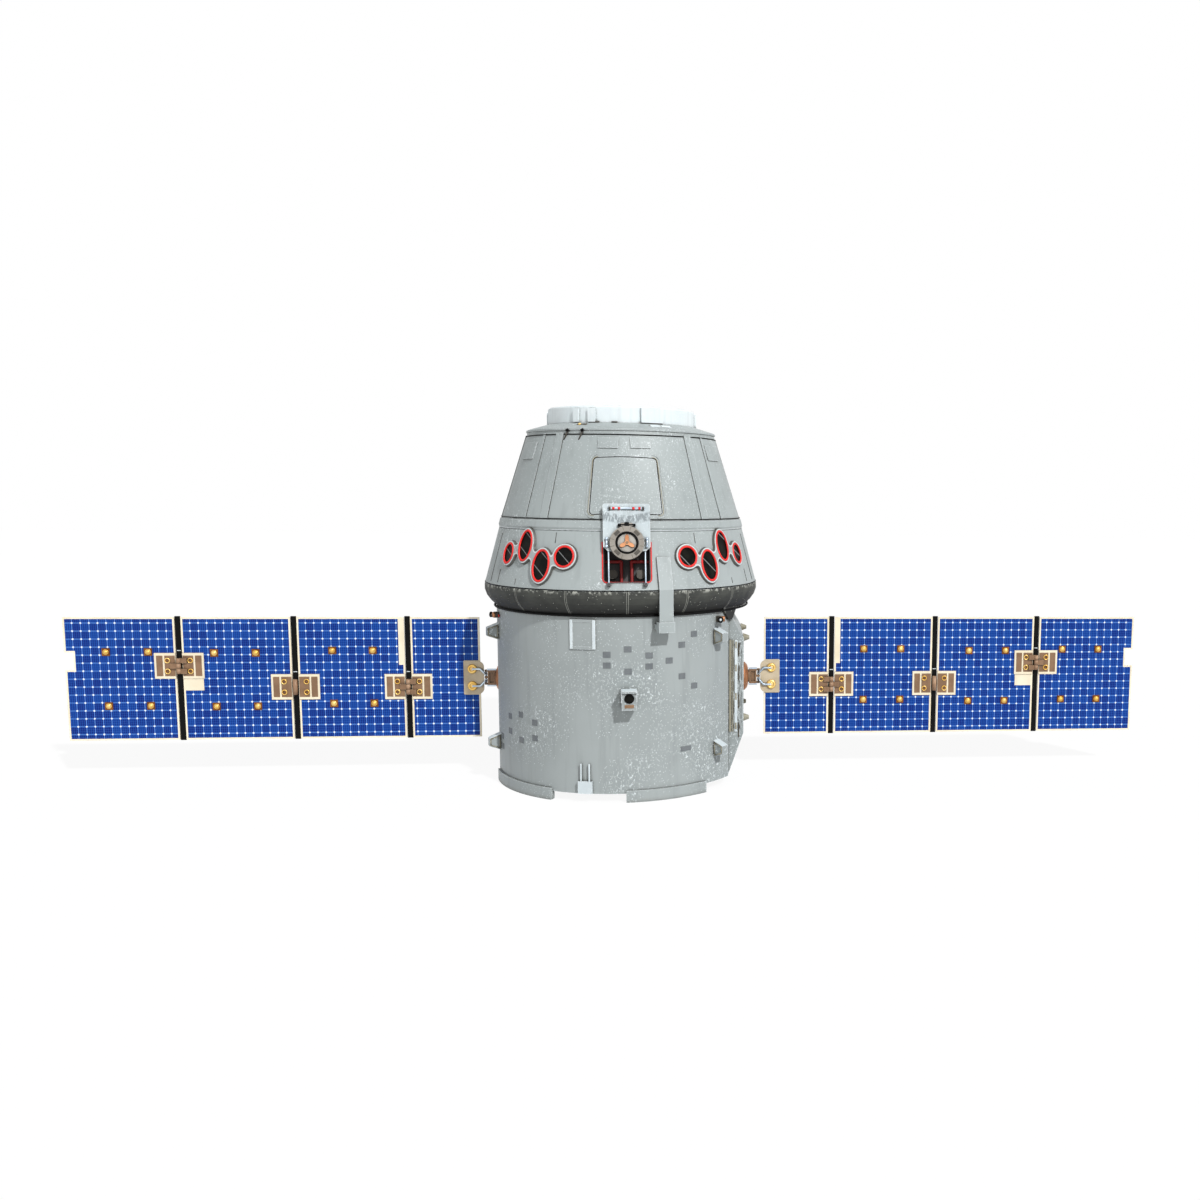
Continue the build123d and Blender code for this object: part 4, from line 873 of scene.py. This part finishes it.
def podHousing(name, front, side):
    centres = [(front + hull["clock"] + side * turn, z, wide, tall) for turn, z, wide, tall in pods["ports"]]
    start, middle = centres[0][0], pods["middle"]
    meanRadius = wallRadius(middle)
    spots = [(radians(turn - start) * meanRadius, (z - middle) / cos(leanLow), *sizes) for turn, z, *sizes in centres]
    lows, highs, counts = [], [], []
    for way in (0, 1):
        lows.append(min(spot[way] - spot[way + 2] for spot in spots) - pods["margin"])
        highs.append(max(spot[way] + spot[way + 2] for spot in spots) + pods["margin"])
        counts.append(ceil((highs[way] - lows[way]) / pods["step"]))
    corners, index, faces, edges = [], {}, [], []
    for i in range(counts[0] + 1):
        for j in range(counts[1] + 1):
            x, y = (low + (high - low) * k / count for low, high, k, count in zip(lows, highs, (i, j), counts))
            inside, opening = podField(spots, x, y)
            if inside > pods["outside"]:
                continue
            lift = (pods["proud"] + pods["sunk"]) * softStep(-inside, 0.0, pods["shoulder"]) - pods["sunk"]
            if opening < pods["bedEdge"]:
                lift = min(lift, pods["bed"] + (lift - pods["bed"]) * softStep(opening, 0.0, pods["bedEdge"]))
            index[i, j] = len(corners)
            edges.append(inside)
            turn = start + x / meanRadius * 180 / pi
            corners.append(wallSpot(turn, middle + y * cos(leanLow), None, leanLow, lift).translation)
    for i in range(counts[0]):
        for j in range(counts[1]):
            quad = [index.get(k) for k in ((i, j), (i + 1, j), (i + 1, j + 1), (i, j + 1))]
            if None not in quad:
                faces.append(quad)
    piece = newPiece(name, corners, faces, "podPaint", "hull", smooth=True, closed=False)
    marks = piece.data.attributes.new("edge", "FLOAT", "POINT")
    marks.data.foreach_set("value", edges)
    normal, first = piece.data.polygons[0].normal, piece.data.vertices[0].co
    if normal.x * first.x + normal.y * first.y < 0:
        piece.data.flip_normals()
    return piece, centres


def portPieces(name, rows, finish, grid, pointAt, closes):
    # a grid on each port that follows the wall; it always closes the short way
    corners, faces, (long, short) = [], [], grid
    for azimuth, z, wide, tall in rows:
        first, place = len(corners), wallSpot(azimuth, z, None, leanLow)
        for i in range(long):
            for j in range(short):
                x, y, level = pointAt(i, j, wide, tall)
                drop = wallDrop(x, z + y * cos(leanLow)) * cos(leanLow)
                corners.append(place @ Vector((x, y, level - drop)))
        for i in range(long if closes else long - 1):
            for j in range(short):
                k, m = (i + 1) % long, (j + 1) % short
                faces.append([first + a * short + b for a, b in ((i, j), (k, j), (k, m), (i, m))])
    return newPiece(name, corners, faces, finish, smooth=True)


def sealPoint(i, j, wide, tall):
    around, section = pods["sealGrid"]
    a, b, tube = 2 * pi * i / around, 2 * pi * j / section, pods["rimTube"]
    out = pods["rimOut"] + tube * cos(b)
    return (wide + out) * cos(a), (tall + out) * sin(a), pods["rimLevel"] + tube * 0.9 * sin(b)


def glassPoint(i, j, wide, tall):
    rings, around = pods["glassGrid"]
    a, share, out = 2 * pi * j / around, i / (rings - 1), pods["glassOut"]
    level = pods["glassLevel"] + pods["dish"] * share * share
    return (wide + out) * share * cos(a), (tall + out) * share * sin(a), level


housingPieces, allPorts = [], []
for front, frontName in ((0, "Front"), (180, "Back")):
    for side, sideName in ((-1, "Left"), (1, "Right")):
        piece, centres = podHousing(f"podHousing{frontName}{sideName}", front, side)
        housingPieces.append(piece)
        allPorts += centres
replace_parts(housingPieces[0], "pod_housings")
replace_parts(portPieces("podSeals", allPorts, "redPaint", pods["sealGrid"], sealPoint, True), "pod_rims")
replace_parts(portPieces("podGlazing", allPorts, "portGlass", pods["glassGrid"], glassPoint, False), "pod_glass")
print("pods made:", len(allPorts), "ports")

# trunk: dark squares, rivets, small things
squares = {
    "spots": ((-2.7, 2.057), (-2.7, 1.910), (6.0, 2.130), (6.1, 1.823), (15.0, 2.037), (15.0, 1.886),
              (23.85, 1.951), (29.8, 2.158), (29.85, 1.718), (35.9, 2.296), (36.0, 1.565), (-55.5, 1.061),
              (-46.4, 1.126), (-37.2, 1.049), (-55.6, 0.843), (-46.1, 0.763), (-37.2, 0.829), (-65.9, 0.707),
              (-65.7, 0.560)),
    "half": (0.051, 0.041), "wide": (31.7, 0.684, 0.083, 0.035),
}


def wallPatches(name, rows, finish, radius=hull["trunkRadius"], thick=0.004):
    # thin plates that follow the round wall
    corners, faces = [], []
    steps = 4
    row = steps + 1
    for azimuth, z, halfWide, halfTall in rows:
        first = len(corners)
        for level in (0.0005, thick):
            for up in (-halfTall, halfTall):
                for i in range(row):
                    a = radians(azimuth) + (2 * i / steps - 1) * halfWide / radius
                    corners.append(((radius + level) * sin(a), -(radius + level) * cos(a), z + up))
        for i in range(steps):
            inLow, inHigh, outLow, outHigh = (first + k * row + i for k in range(4))
            faces += [(outLow, outLow + 1, outHigh + 1, outHigh), (inLow, inHigh, inHigh + 1, inLow + 1),
                      (inLow, inLow + 1, outLow + 1, outLow), (inHigh, outHigh, outHigh + 1, inHigh + 1)]
        faces += [[first + end + k * row for k in order] for end, order in ((0, (0, 2, 3, 1)), (steps, (0, 1, 3, 2)))]
    return newPiece(name, corners, faces, finish)


wallPatches("trunkSquares", [(*spot, *squares["half"]) for spot in squares["spots"]] + [squares["wide"]], "darkPatch")

access = {"azimuth": -12.8, "low": 2.128, "high": 2.536, "half": 0.158, "proud": 0.0165, "stripOut": 0.0155,
          "perSide": 9, "margin": 0.030, "stripHalf": 0.020, "stripInset": 0.006}
rivets, strips = [], {}
for side, word in ((-1, "Left"), (1, "Right")):
    turn = access["azimuth"] + side * access["half"] / hull["trunkRadius"] * 180 / pi
    tall, margin = access["high"] - access["low"], access["margin"]
    for i in range(access["perSide"]):
        z = access["low"] + margin + (tall - 2 * margin) * i / (access["perSide"] - 1)
        rivets.append(studAt(wallSpot(turn, z, hull["trunkRadius"] + access["proud"])))
    strips[word] = (turn, access["low"] + tall / 2, access["stripHalf"], tall / 2 - access["stripInset"])
studsOn("accessRivets", rivets, "whiteFitting", headRadius=0.0105, headHeight=0.006)
for word, strip in strips.items():
    wallPatches("accessStrip" + word, [strip], "whiteFitting", hull["trunkRadius"] + access["stripOut"])

# guide brackets: wedges with a white top plate and a khaki line round each cheek
guide = {
    "azimuths": (49, 169, 289), "heights": (2.225, 0.600), "taper": ((-0.012, 0.125), (0.170, 0.058)), "half": 0.055,
    "cheek": ((0.095, 0.02), (0.044, 0.150), (-0.044, 0.150), (-0.095, 0.02)), "lineRadius": 0.0075,
}
guidePlaces = [wallSpot(azimuth, z, hull["trunkRadius"]) for azimuth in guide["azimuths"] for z in guide["heights"]]


def guideBlocks(low, high, wide):
    # tapered blocks between two shares of the wedge's height
    half = guide["half"] + wide
    return [[place @ Vector((x, level * tall, reach)) for x in (-half, half) for reach, tall in guide["taper"]
             for level in (low, high)] for place in guidePlaces]


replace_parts(sixSided("guideWedges", guideBlocks(-1, 1, 0.0), "trunkPaint"), "guide_cones")
sixSided("guideTops", guideBlocks(0.93, 1.05, 0.006), "whiteFitting")
cheeks = []
for place in guidePlaces:
    for side in (-1, 1):
        ring = [(side * (guide["half"] + 0.001), y, out) for y, out in guide["cheek"]]
        cheeks += [barOn(place, start, end, guide["lineRadius"]) for start, end in zip(ring, ring[1:] + ring[:1])]
roundBars("guideLines", cheeks, "khakiMetal")

# release fittings below the heat shield
release = {"azimuths": (50, 170, 290), "z": 2.470, "out": 0.098}
balls, dots, barrels = [], [], []
for azimuth in release["azimuths"]:
    place = wallSpot(azimuth, release["z"], hull["trunkRadius"])
    balls.append((place @ Vector((-0.055, 0.0, release["out"])), place.to_3x3() @ Vector((-0.6, 0.0, 0.8))))
    dots.append(studAt(place, 0.10, -0.005, 0.012))
    barrels += [barOn(place, (x, -0.035, 0.07), (x, 0.04, 0.07), 0.021) for x in (0.0, 0.045)]
studsOn("releaseRings", balls, "blackRubber", ringRadius=0.032, ringThickness=0.012)
studsOn("releaseBalls", balls, "whiteFitting", headRadius=0.021, headHeight=0.021)
studsOn("releaseDots", dots, "redPaint", headRadius=0.021, headHeight=0.010)
roundBars("releaseBarrels", barrels, "copperMetal")

# camera box: hood, lens ring and the brown plate under it
watch = {"azimuth": 6.3, "z": 1.452, "deep": 0.190}
place = wallSpot(watch["azimuth"], watch["z"], hull["trunkRadius"])
front = watch["deep"]
hood = [((-0.104, 0.118, 0.0), (0.104, 0.137, front + 0.022))]
hood += [((x, -0.02, front - 0.03), (x + 0.010, 0.12, front + 0.012)) for x in (-0.106, 0.096)]
bevelledBoxes("cameraHood", hood, "whiteFitting", "hull", 0.003, place)
label = ((-0.062, -0.098, front - 0.005), (0.062, -0.052, front + 0.006))
bevelledBoxes("cameraLabel", [label], "brownMetal", "hull", 0.002, place)
studsOn("cameraRing", [studAt(place, 0, 0.03, front + 0.004)], "blackRubber", ringRadius=0.056, ringThickness=0.010)

# ends of the wing bay: spans in x, from and to past the end face, heights, bevel
bay = {"end": 0.930, "full": ((0.775, 2.135),), "slots": (2.06, 1.72, 1.30, 0.86)}
bayRows = (
    ("bayBeams", "khakiMetal", ((1.588, 1.622), (1.636, 1.650)), (-0.002, 0.016), bay["full"], 0.003),
    ("bayPlates", "whiteFitting", ((1.668, 1.710),), (-0.002, 0.010), bay["full"], 0.003),
    ("baySlots", "khakiMetal", ((1.676, 1.700),), (0.008, 0.013), [(z - 0.05, z + 0.05) for z in bay["slots"]], 0.002),
    ("bayShades", "darkMetal", ((1.722, 1.738),), (-0.002, 0.008), [(z - 0.17, z + 0.03) for z in bay["slots"]], 0.002),
)
for side, word in ((-1, "Front"), (1, "Back")):
    for name, finish, spans, (near, far), heights, bevel in bayRows:
        near, far = side * (bay["end"] + near), side * (bay["end"] + far)
        boxes = [((a, near, low), (b, far, high)) for a, b in spans for low, high in heights]
        bevelledBoxes(name + word, boxes, finish, "hull", bevel)
print("trunk dressed")


# capsule front: grapple fixture, plate bar, bay rim, hatch frame
def wallLoop(name, centreZ, lean, outline, radius, finish, lift=0.0, closed=True):
    # round bead along an outline that lies on the wall, x across and y up the slope
    place = wallSpot(hull["clock"], centreZ, None, lean)
    drops = [wallDrop(x, centreZ + y * cos(lean)) * cos(lean) for x, y in outline]
    points = [place @ Vector((x, y, lift - drop)) for (x, y), drop in zip(outline, drops)]
    if closed:
        points.append(points[0])
    return tubeAlong(name, points, radius, finish, "hull", 2)


def roundedOutline(lowHalf, highHalf, low, high, corner, steps=6):
    # trapezium with rounded corners, anticlockwise from the lower right
    outline = []
    for cx, cy, start in ((lowHalf - corner, low + corner, -90), (highHalf - corner, high - corner, 0),
                          (-highHalf + corner, high - corner, 90), (-lowHalf + corner, low + corner, 180)):
        for i in range(steps + 1):
            a = radians(start + 90 * i / steps)
            outline.append((cx + corner * cos(a), cy + corner * sin(a)))
    return outline


hatchLook = {
    "z": 4.349, "low": 3.958, "high": 4.740, "halves": (0.500, 0.430), "corner": 0.060,
    # grow, bead radius, finish, lift
    "beads": {"hatchSeal": (0.008, 0.0075, "khakiMetal", -0.004), "hatchFrame": (0.040, 0.008, "capsulePaint", 0.0)},
}
tall = (hatchLook["high"] - hatchLook["low"]) / 2 / cos(leanHigh)
for name, (grow, radius, finish, lift) in hatchLook["beads"].items():
    halves = [half + grow for half in hatchLook["halves"]]
    outline = roundedOutline(*halves, -tall - grow, tall + grow, hatchLook["corner"] + grow)
    wallLoop(name, hatchLook["z"], leanHigh, outline, radius, finish, lift)

bayLook = {"z": 3.380, "half": 0.322, "low": -0.340, "top": 0.22, "corner": 0.062, "bead": 0.011, "footX": 0.243,
           "foot": ((-0.0235, -0.3915, -0.020), (0.0235, -0.3505, 0.0459))}
half, top = bayLook["half"], bayLook["top"]
outline = [(x, y) for x, y in roundedOutline(half, half, bayLook["low"], 0.60, bayLook["corner"]) if y < 0.0]
outline = [(-half, top)] + outline[7:] + outline[:7] + [(half, top)]
wallLoop("bayRim", bayLook["z"], leanLow, outline, bayLook["bead"], "redPaint", closed=False)
covers = [[(x + corner[0], *corner[1:]) for corner in bayLook["foot"]] for x in (-bayLook["footX"], bayLook["footX"])]
bevelledBoxes("rodFeet", covers, "bayLining", "hull", 0.001, wallSpot(hull["clock"], bayLook["z"], None, leanLow))

fixture = {
    "z": 3.556, "face": 0.106, "ring": {"ringRadius": 0.139, "ringThickness": 0.014},
    "pad": ((0.160, -0.044, 0.100), (0.214, 0.044, 0.1085)), "padTurns": (45, 135, 225, 315),
    "seam": ((0.172, -0.003, 0.102), (0.229, 0.003, 0.1075)), "seamTurns": (14, 76, 104, 166, 194, 250, 290, 346),
    "bracket": (((-0.118, 0.232, 0.060), (0.118, 0.262, 0.100)), ((-0.030, 0.225, 0.060), (0.030, 0.284, 0.108))),
    "clampX": 0.268, "clampY": (-0.045, 0.060), "bar": (0.4788, 0.073), "bands": (-0.173, -0.098, 0.093, 0.172),
}
place = wallSpot(hull["clock"], fixture["z"], None, leanLow)
studsOn("fixtureRing", [studAt(place, 0, 0, fixture["face"])], "blackRubber", "plate", **fixture["ring"])
roundBars("fixtureHub", [((0, 0, 0.085), (0, 0, 0.0945), 0.126)], "hubMetal", "plate", place)
roundBars("fixtureBoss", [((0, 0, 0.09), (0, 0, 0.124), 0.020)], "brownMetal", "plate", place)
pads, seams = ([(*fixture[part], turn) for turn in fixture[part + "Turns"]] for part in ("pad", "seam"))
bevelledBoxes("fixturePads", pads, "darkMetal", "plate", 0.003, place)
bevelledBoxes("fixtureSeams", seams, "darkMetal", "plate", 0.001, place)
bevelledBoxes("fixtureBracket", fixture["bracket"], "blackRubber", "plate", 0.006, place)
low, high = fixture["clampY"]
sides = (-fixture["clampX"], fixture["clampX"])
roundBars("fixtureClamps", [((x, low, 0.078), (x, high, 0.078), 0.013) for x in sides], "silverRod", "plate", place)
knobs = [studAt(place, x, y, 0.082) for x in sides for y in (low, high)]
studsOn("fixtureKnobs", knobs, "silverRod", "plate", headRadius=0.022, headHeight=0.018)
y, out = fixture["bar"]
for name, finish, middles, half, radius in (("barBands", "redPaint", fixture["bands"], 0.016, 0.0185),
                                            ("barEnds", "darkMetal", (-0.223, 0.223), 0.014, 0.024)):
    roundBars(name, [((x - half, y, out), (x + half, y, out), radius) for x in middles], finish, "plate", place)

# dark rings round the hull as painted shadow lines at the shield, the ridge and under the bead; dark joint lines beside
# the pods and along the ribs
darkLines = {
    "rings": ((1.874, 2.588, 0.016), (1.9995, 2.936, 0.010), (1.758, 3.886, 0.006), (1.786, 3.727, 0.006),
              (1.390, 5.038, 0.007)),
    "ribs": ((39, 0.062), (51.5, 0.020), (90, 0.062), (141, 0.062)), "ribRun": (3.900, 5.029),
    "podLines": ((31, 3.56, 3.70), (49, 2.98, 3.06), (62, 2.98, 3.16), (70, 2.98, 3.66)),
    "lineRadius": 0.0045, "steps": 120,
}
# each ring is a dark tube laid where shade falls: painted shadow
for count, (radius, z, tube) in enumerate(darkLines["rings"]):
    turns = [2 * pi * i / darkLines["steps"] for i in range(darkLines["steps"] + 1)]
    ring = [(radius * sin(a), -radius * cos(a), z) for a in turns]
    tubeAlong(f"shadowRing{count + 1}", ring, tube, "blackRubber", "hull", 2)
# azimuth, x beside it, low and high end, lean
lines = [(front + side * turn, 0.0, low, high, leanLow) for front in (0, 180) for side in (-1, 1)
         for turn, low, high in darkLines["podLines"]]
lines += [(way * turn, side * (half + 0.002), *darkLines["ribRun"], leanHigh) for turn, half in darkLines["ribs"]
          for way in (-1, 1) for side in (-1, 1)]
rows = []
for turn, x, low, high, lean in lines:
    ends = [wallSpot(turn + hull["clock"], z, None, lean) @ Vector((x, 0, 0.001 - wallDrop(x, z))) for z in (low, high)]
    rows.append((*ends, darkLines["lineRadius"]))
roundBars("jointLines", rows, "seamFiller")

# pointed flaps that hang from the shield over the corners of the wing bay
flap = {"azimuths": (58.5, 121.5), "half": 6.5, "tipHalf": 1.625, "top": 2.640, "tip": 2.440, "radii": (1.852, 1.886)}
blocks = []
for azimuth in flap["azimuths"]:
    points = [(radius, radians(azimuth + side * half), z) for radius in flap["radii"]
              for half, z in ((flap["half"], flap["top"]), (flap["tipHalf"], flap["tip"])) for side in (-1, 1)]
    blocks.append([(radius * sin(a), -radius * cos(a), z) for radius, a, z in points])
sixSided("shieldFlaps", blocks, "shieldCoat")

# bead line: cable ends at the left and small brackets under the nose blocks
cables = {"turns": (-33.5, -24.0), "z": 5.100, "end": ((0, 0.01, -0.01), (-0.012, -0.012, 0.038), 0.020),
          "tail": ((-0.010, -0.03, 0.022), (-0.055, -0.14, 0.035), 0.009)}
places = [wallSpot(turn + hull["clock"], cables["z"], hull["beadRadius"]) for turn in cables["turns"]]
roundBars("cableEnds", [barOn(place, *cables["end"]) for place in places], "blackRubber")
roundBars("cableTails", [barOn(place, *cables["tail"]) for place in places], "darkMetal")
underNose = {"z": 5.222, "radius": 1.09, "bar": 0.012, "turns": ((-22.0, 0.07), (-7.0, 0.04), (22.0, 0.14))}
rows = []
for turn, half in underNose["turns"]:
    place = wallSpot(turn + hull["clock"], underNose["z"], underNose["radius"])
    rows.append(barOn(place, (-half, 0, 0), (half, 0, 0), underNose["bar"]))
roundBars("noseBrackets", rows, "darkMetal")

# small things on the sloping deck: valve, capped hole and a cover plate
deck = {"lean": radians(65.7), "collar": 5.215, "collarRadius": 1.09, "run": 2.214,
        "valve": (-28.5, 5.165), "hole": (-12.5, 5.170), "cover": (24.5, 5.155)}
valve, hole, cover = (
    wallSpot(turn + hull["clock"], z, deck["collarRadius"] + (deck["collar"] - z) * deck["run"], deck["lean"])
    for turn, z in (deck["valve"], deck["hole"], deck["cover"]))
bevelledBoxes("deckValve", [((-0.075, -0.022, -0.004), (0.075, 0.022, 0.026))], "darkMetal", "hull", 0.004, valve)
studsOn("deckValveCap", [studAt(valve, -0.03, -0.005, 0.026)], "goldMetal", headRadius=0.022, headHeight=0.016)
dots = [studAt(hole, x) for x in (-0.02, 0.0, 0.02)]
studsOn("deckHole", dots, "blackRubber", headRadius=0.026, headHeight=0.004)
bevelledBoxes("deckCoverEdge", [((-0.175, -0.055, -0.006), (0.175, 0.055, 0.014))], "darkMetal", "hull", 0.004, cover)
leaves = [((x, -0.042, 0.0), (x + 0.154, 0.042, 0.021)) for x in (-0.160, 0.006)]
bevelledBoxes("deckCover", leaves, "nosePaint", "hull", 0.004, cover)
print("capsule dressed")

# stage: floor, world, lights, camera
stageLook = {
    "floorSize": 90.0, "paper": 0.86, "glow": 1.02, "glowShare": 0.90, "skyLevel": 0.34,
    # strength, softness in degrees, where it stands
    "suns": {"keySun": (2.9, 2.5, (0.46, -0.66, 0.74)), "fillSun": (0.35, 60.0, (-0.7, -0.7, 0.25))},
}
white = (1.0, 1.0, 1.0, 1.0)
mesh = bpy.data.meshes.new("studioFloor")
half = stageLook["floorSize"]
mesh.from_pydata([(-half, -half, 0), (half, -half, 0), (half, half, 0), (-half, half, 0)], [], [(0, 1, 2, 3)])
floor = placed("studioFloor", mesh)
made, bench = newFinish("floorPaper")
paper = bench.node("ShaderNodeBsdfDiffuse", None, {"Color": (*[stageLook["paper"]] * 3, 1.0)})
glow = bench.node("ShaderNodeEmission", None, {"Color": white, "Strength": stageLook["glow"]})
shown = bench.node("ShaderNodeMixShader", None, {0: stageLook["glowShare"], 1: paper, 2: glow})
both = bench.node("ShaderNodeMixShader", None, {0: bench.seen(), 1: paper, 2: shown})
bench.node("ShaderNodeOutputMaterial", None, {"Surface": both})
mesh.materials.append(made)

world = bpy.data.worlds.new("studioWorld")
bpy.context.scene.world = world
world.use_nodes = True
world.node_tree.nodes.clear()
bench = Bench(world.node_tree)
level = stageLook["skyLevel"] + bench.seen() * (1 - stageLook["skyLevel"])
sky = bench.node("ShaderNodeBackground", None, {"Color": white, "Strength": level})
bench.node("ShaderNodeOutputWorld", None, {"Surface": sky})

for name, (strength, soft, stand) in stageLook["suns"].items():
    lamp = bpy.data.lights.new(name, "SUN")
    lamp.energy, lamp.angle = strength, radians(soft)
    placed(name, lamp).rotation_euler = Vector(stand).to_track_quat("Z", "Y").to_euler()

# the camera stands where the photograph was taken from, by a fit to the wings and rings
shot = {"place": (1.2699, -16.5498, 4.2676), "heading": 5.6122, "pitch": 6.3082, "roll": 0.6382, "focal": 1080.29,
        "centre": (812.74, 612.62), "picture": 1200, "sensor": 36.0}
turn, dip, roll = (radians(shot[key]) for key in ("heading", "pitch", "roll"))
ahead = Vector((sin(turn) * cos(dip), cos(turn) * cos(dip), -sin(dip)))
right = Vector((cos(turn), -sin(turn), 0))
above = right.cross(ahead)
rightTilted = cos(roll) * right + sin(roll) * above
aboveTilted = -sin(roll) * right + cos(roll) * above
lens = bpy.data.cameras.new("photoCamera")
lens.sensor_width, lens.sensor_fit = shot["sensor"], "HORIZONTAL"
lens.lens = shot["focal"] / shot["picture"] * shot["sensor"]
lens.shift_x = 0.5 - shot["centre"][0] / shot["picture"]
lens.shift_y = shot["centre"][1] / shot["picture"] - 0.5
lens.clip_end = 400
camera = placed("photoCamera", lens)
stance = Matrix((rightTilted, aboveTilted, -ahead)).transposed().to_4x4()
camera.matrix_world = Matrix.Translation(shot["place"]) @ stance
bpy.context.scene.camera = camera
bpy.context.scene.view_settings.view_transform = "Standard"
print("stage set")
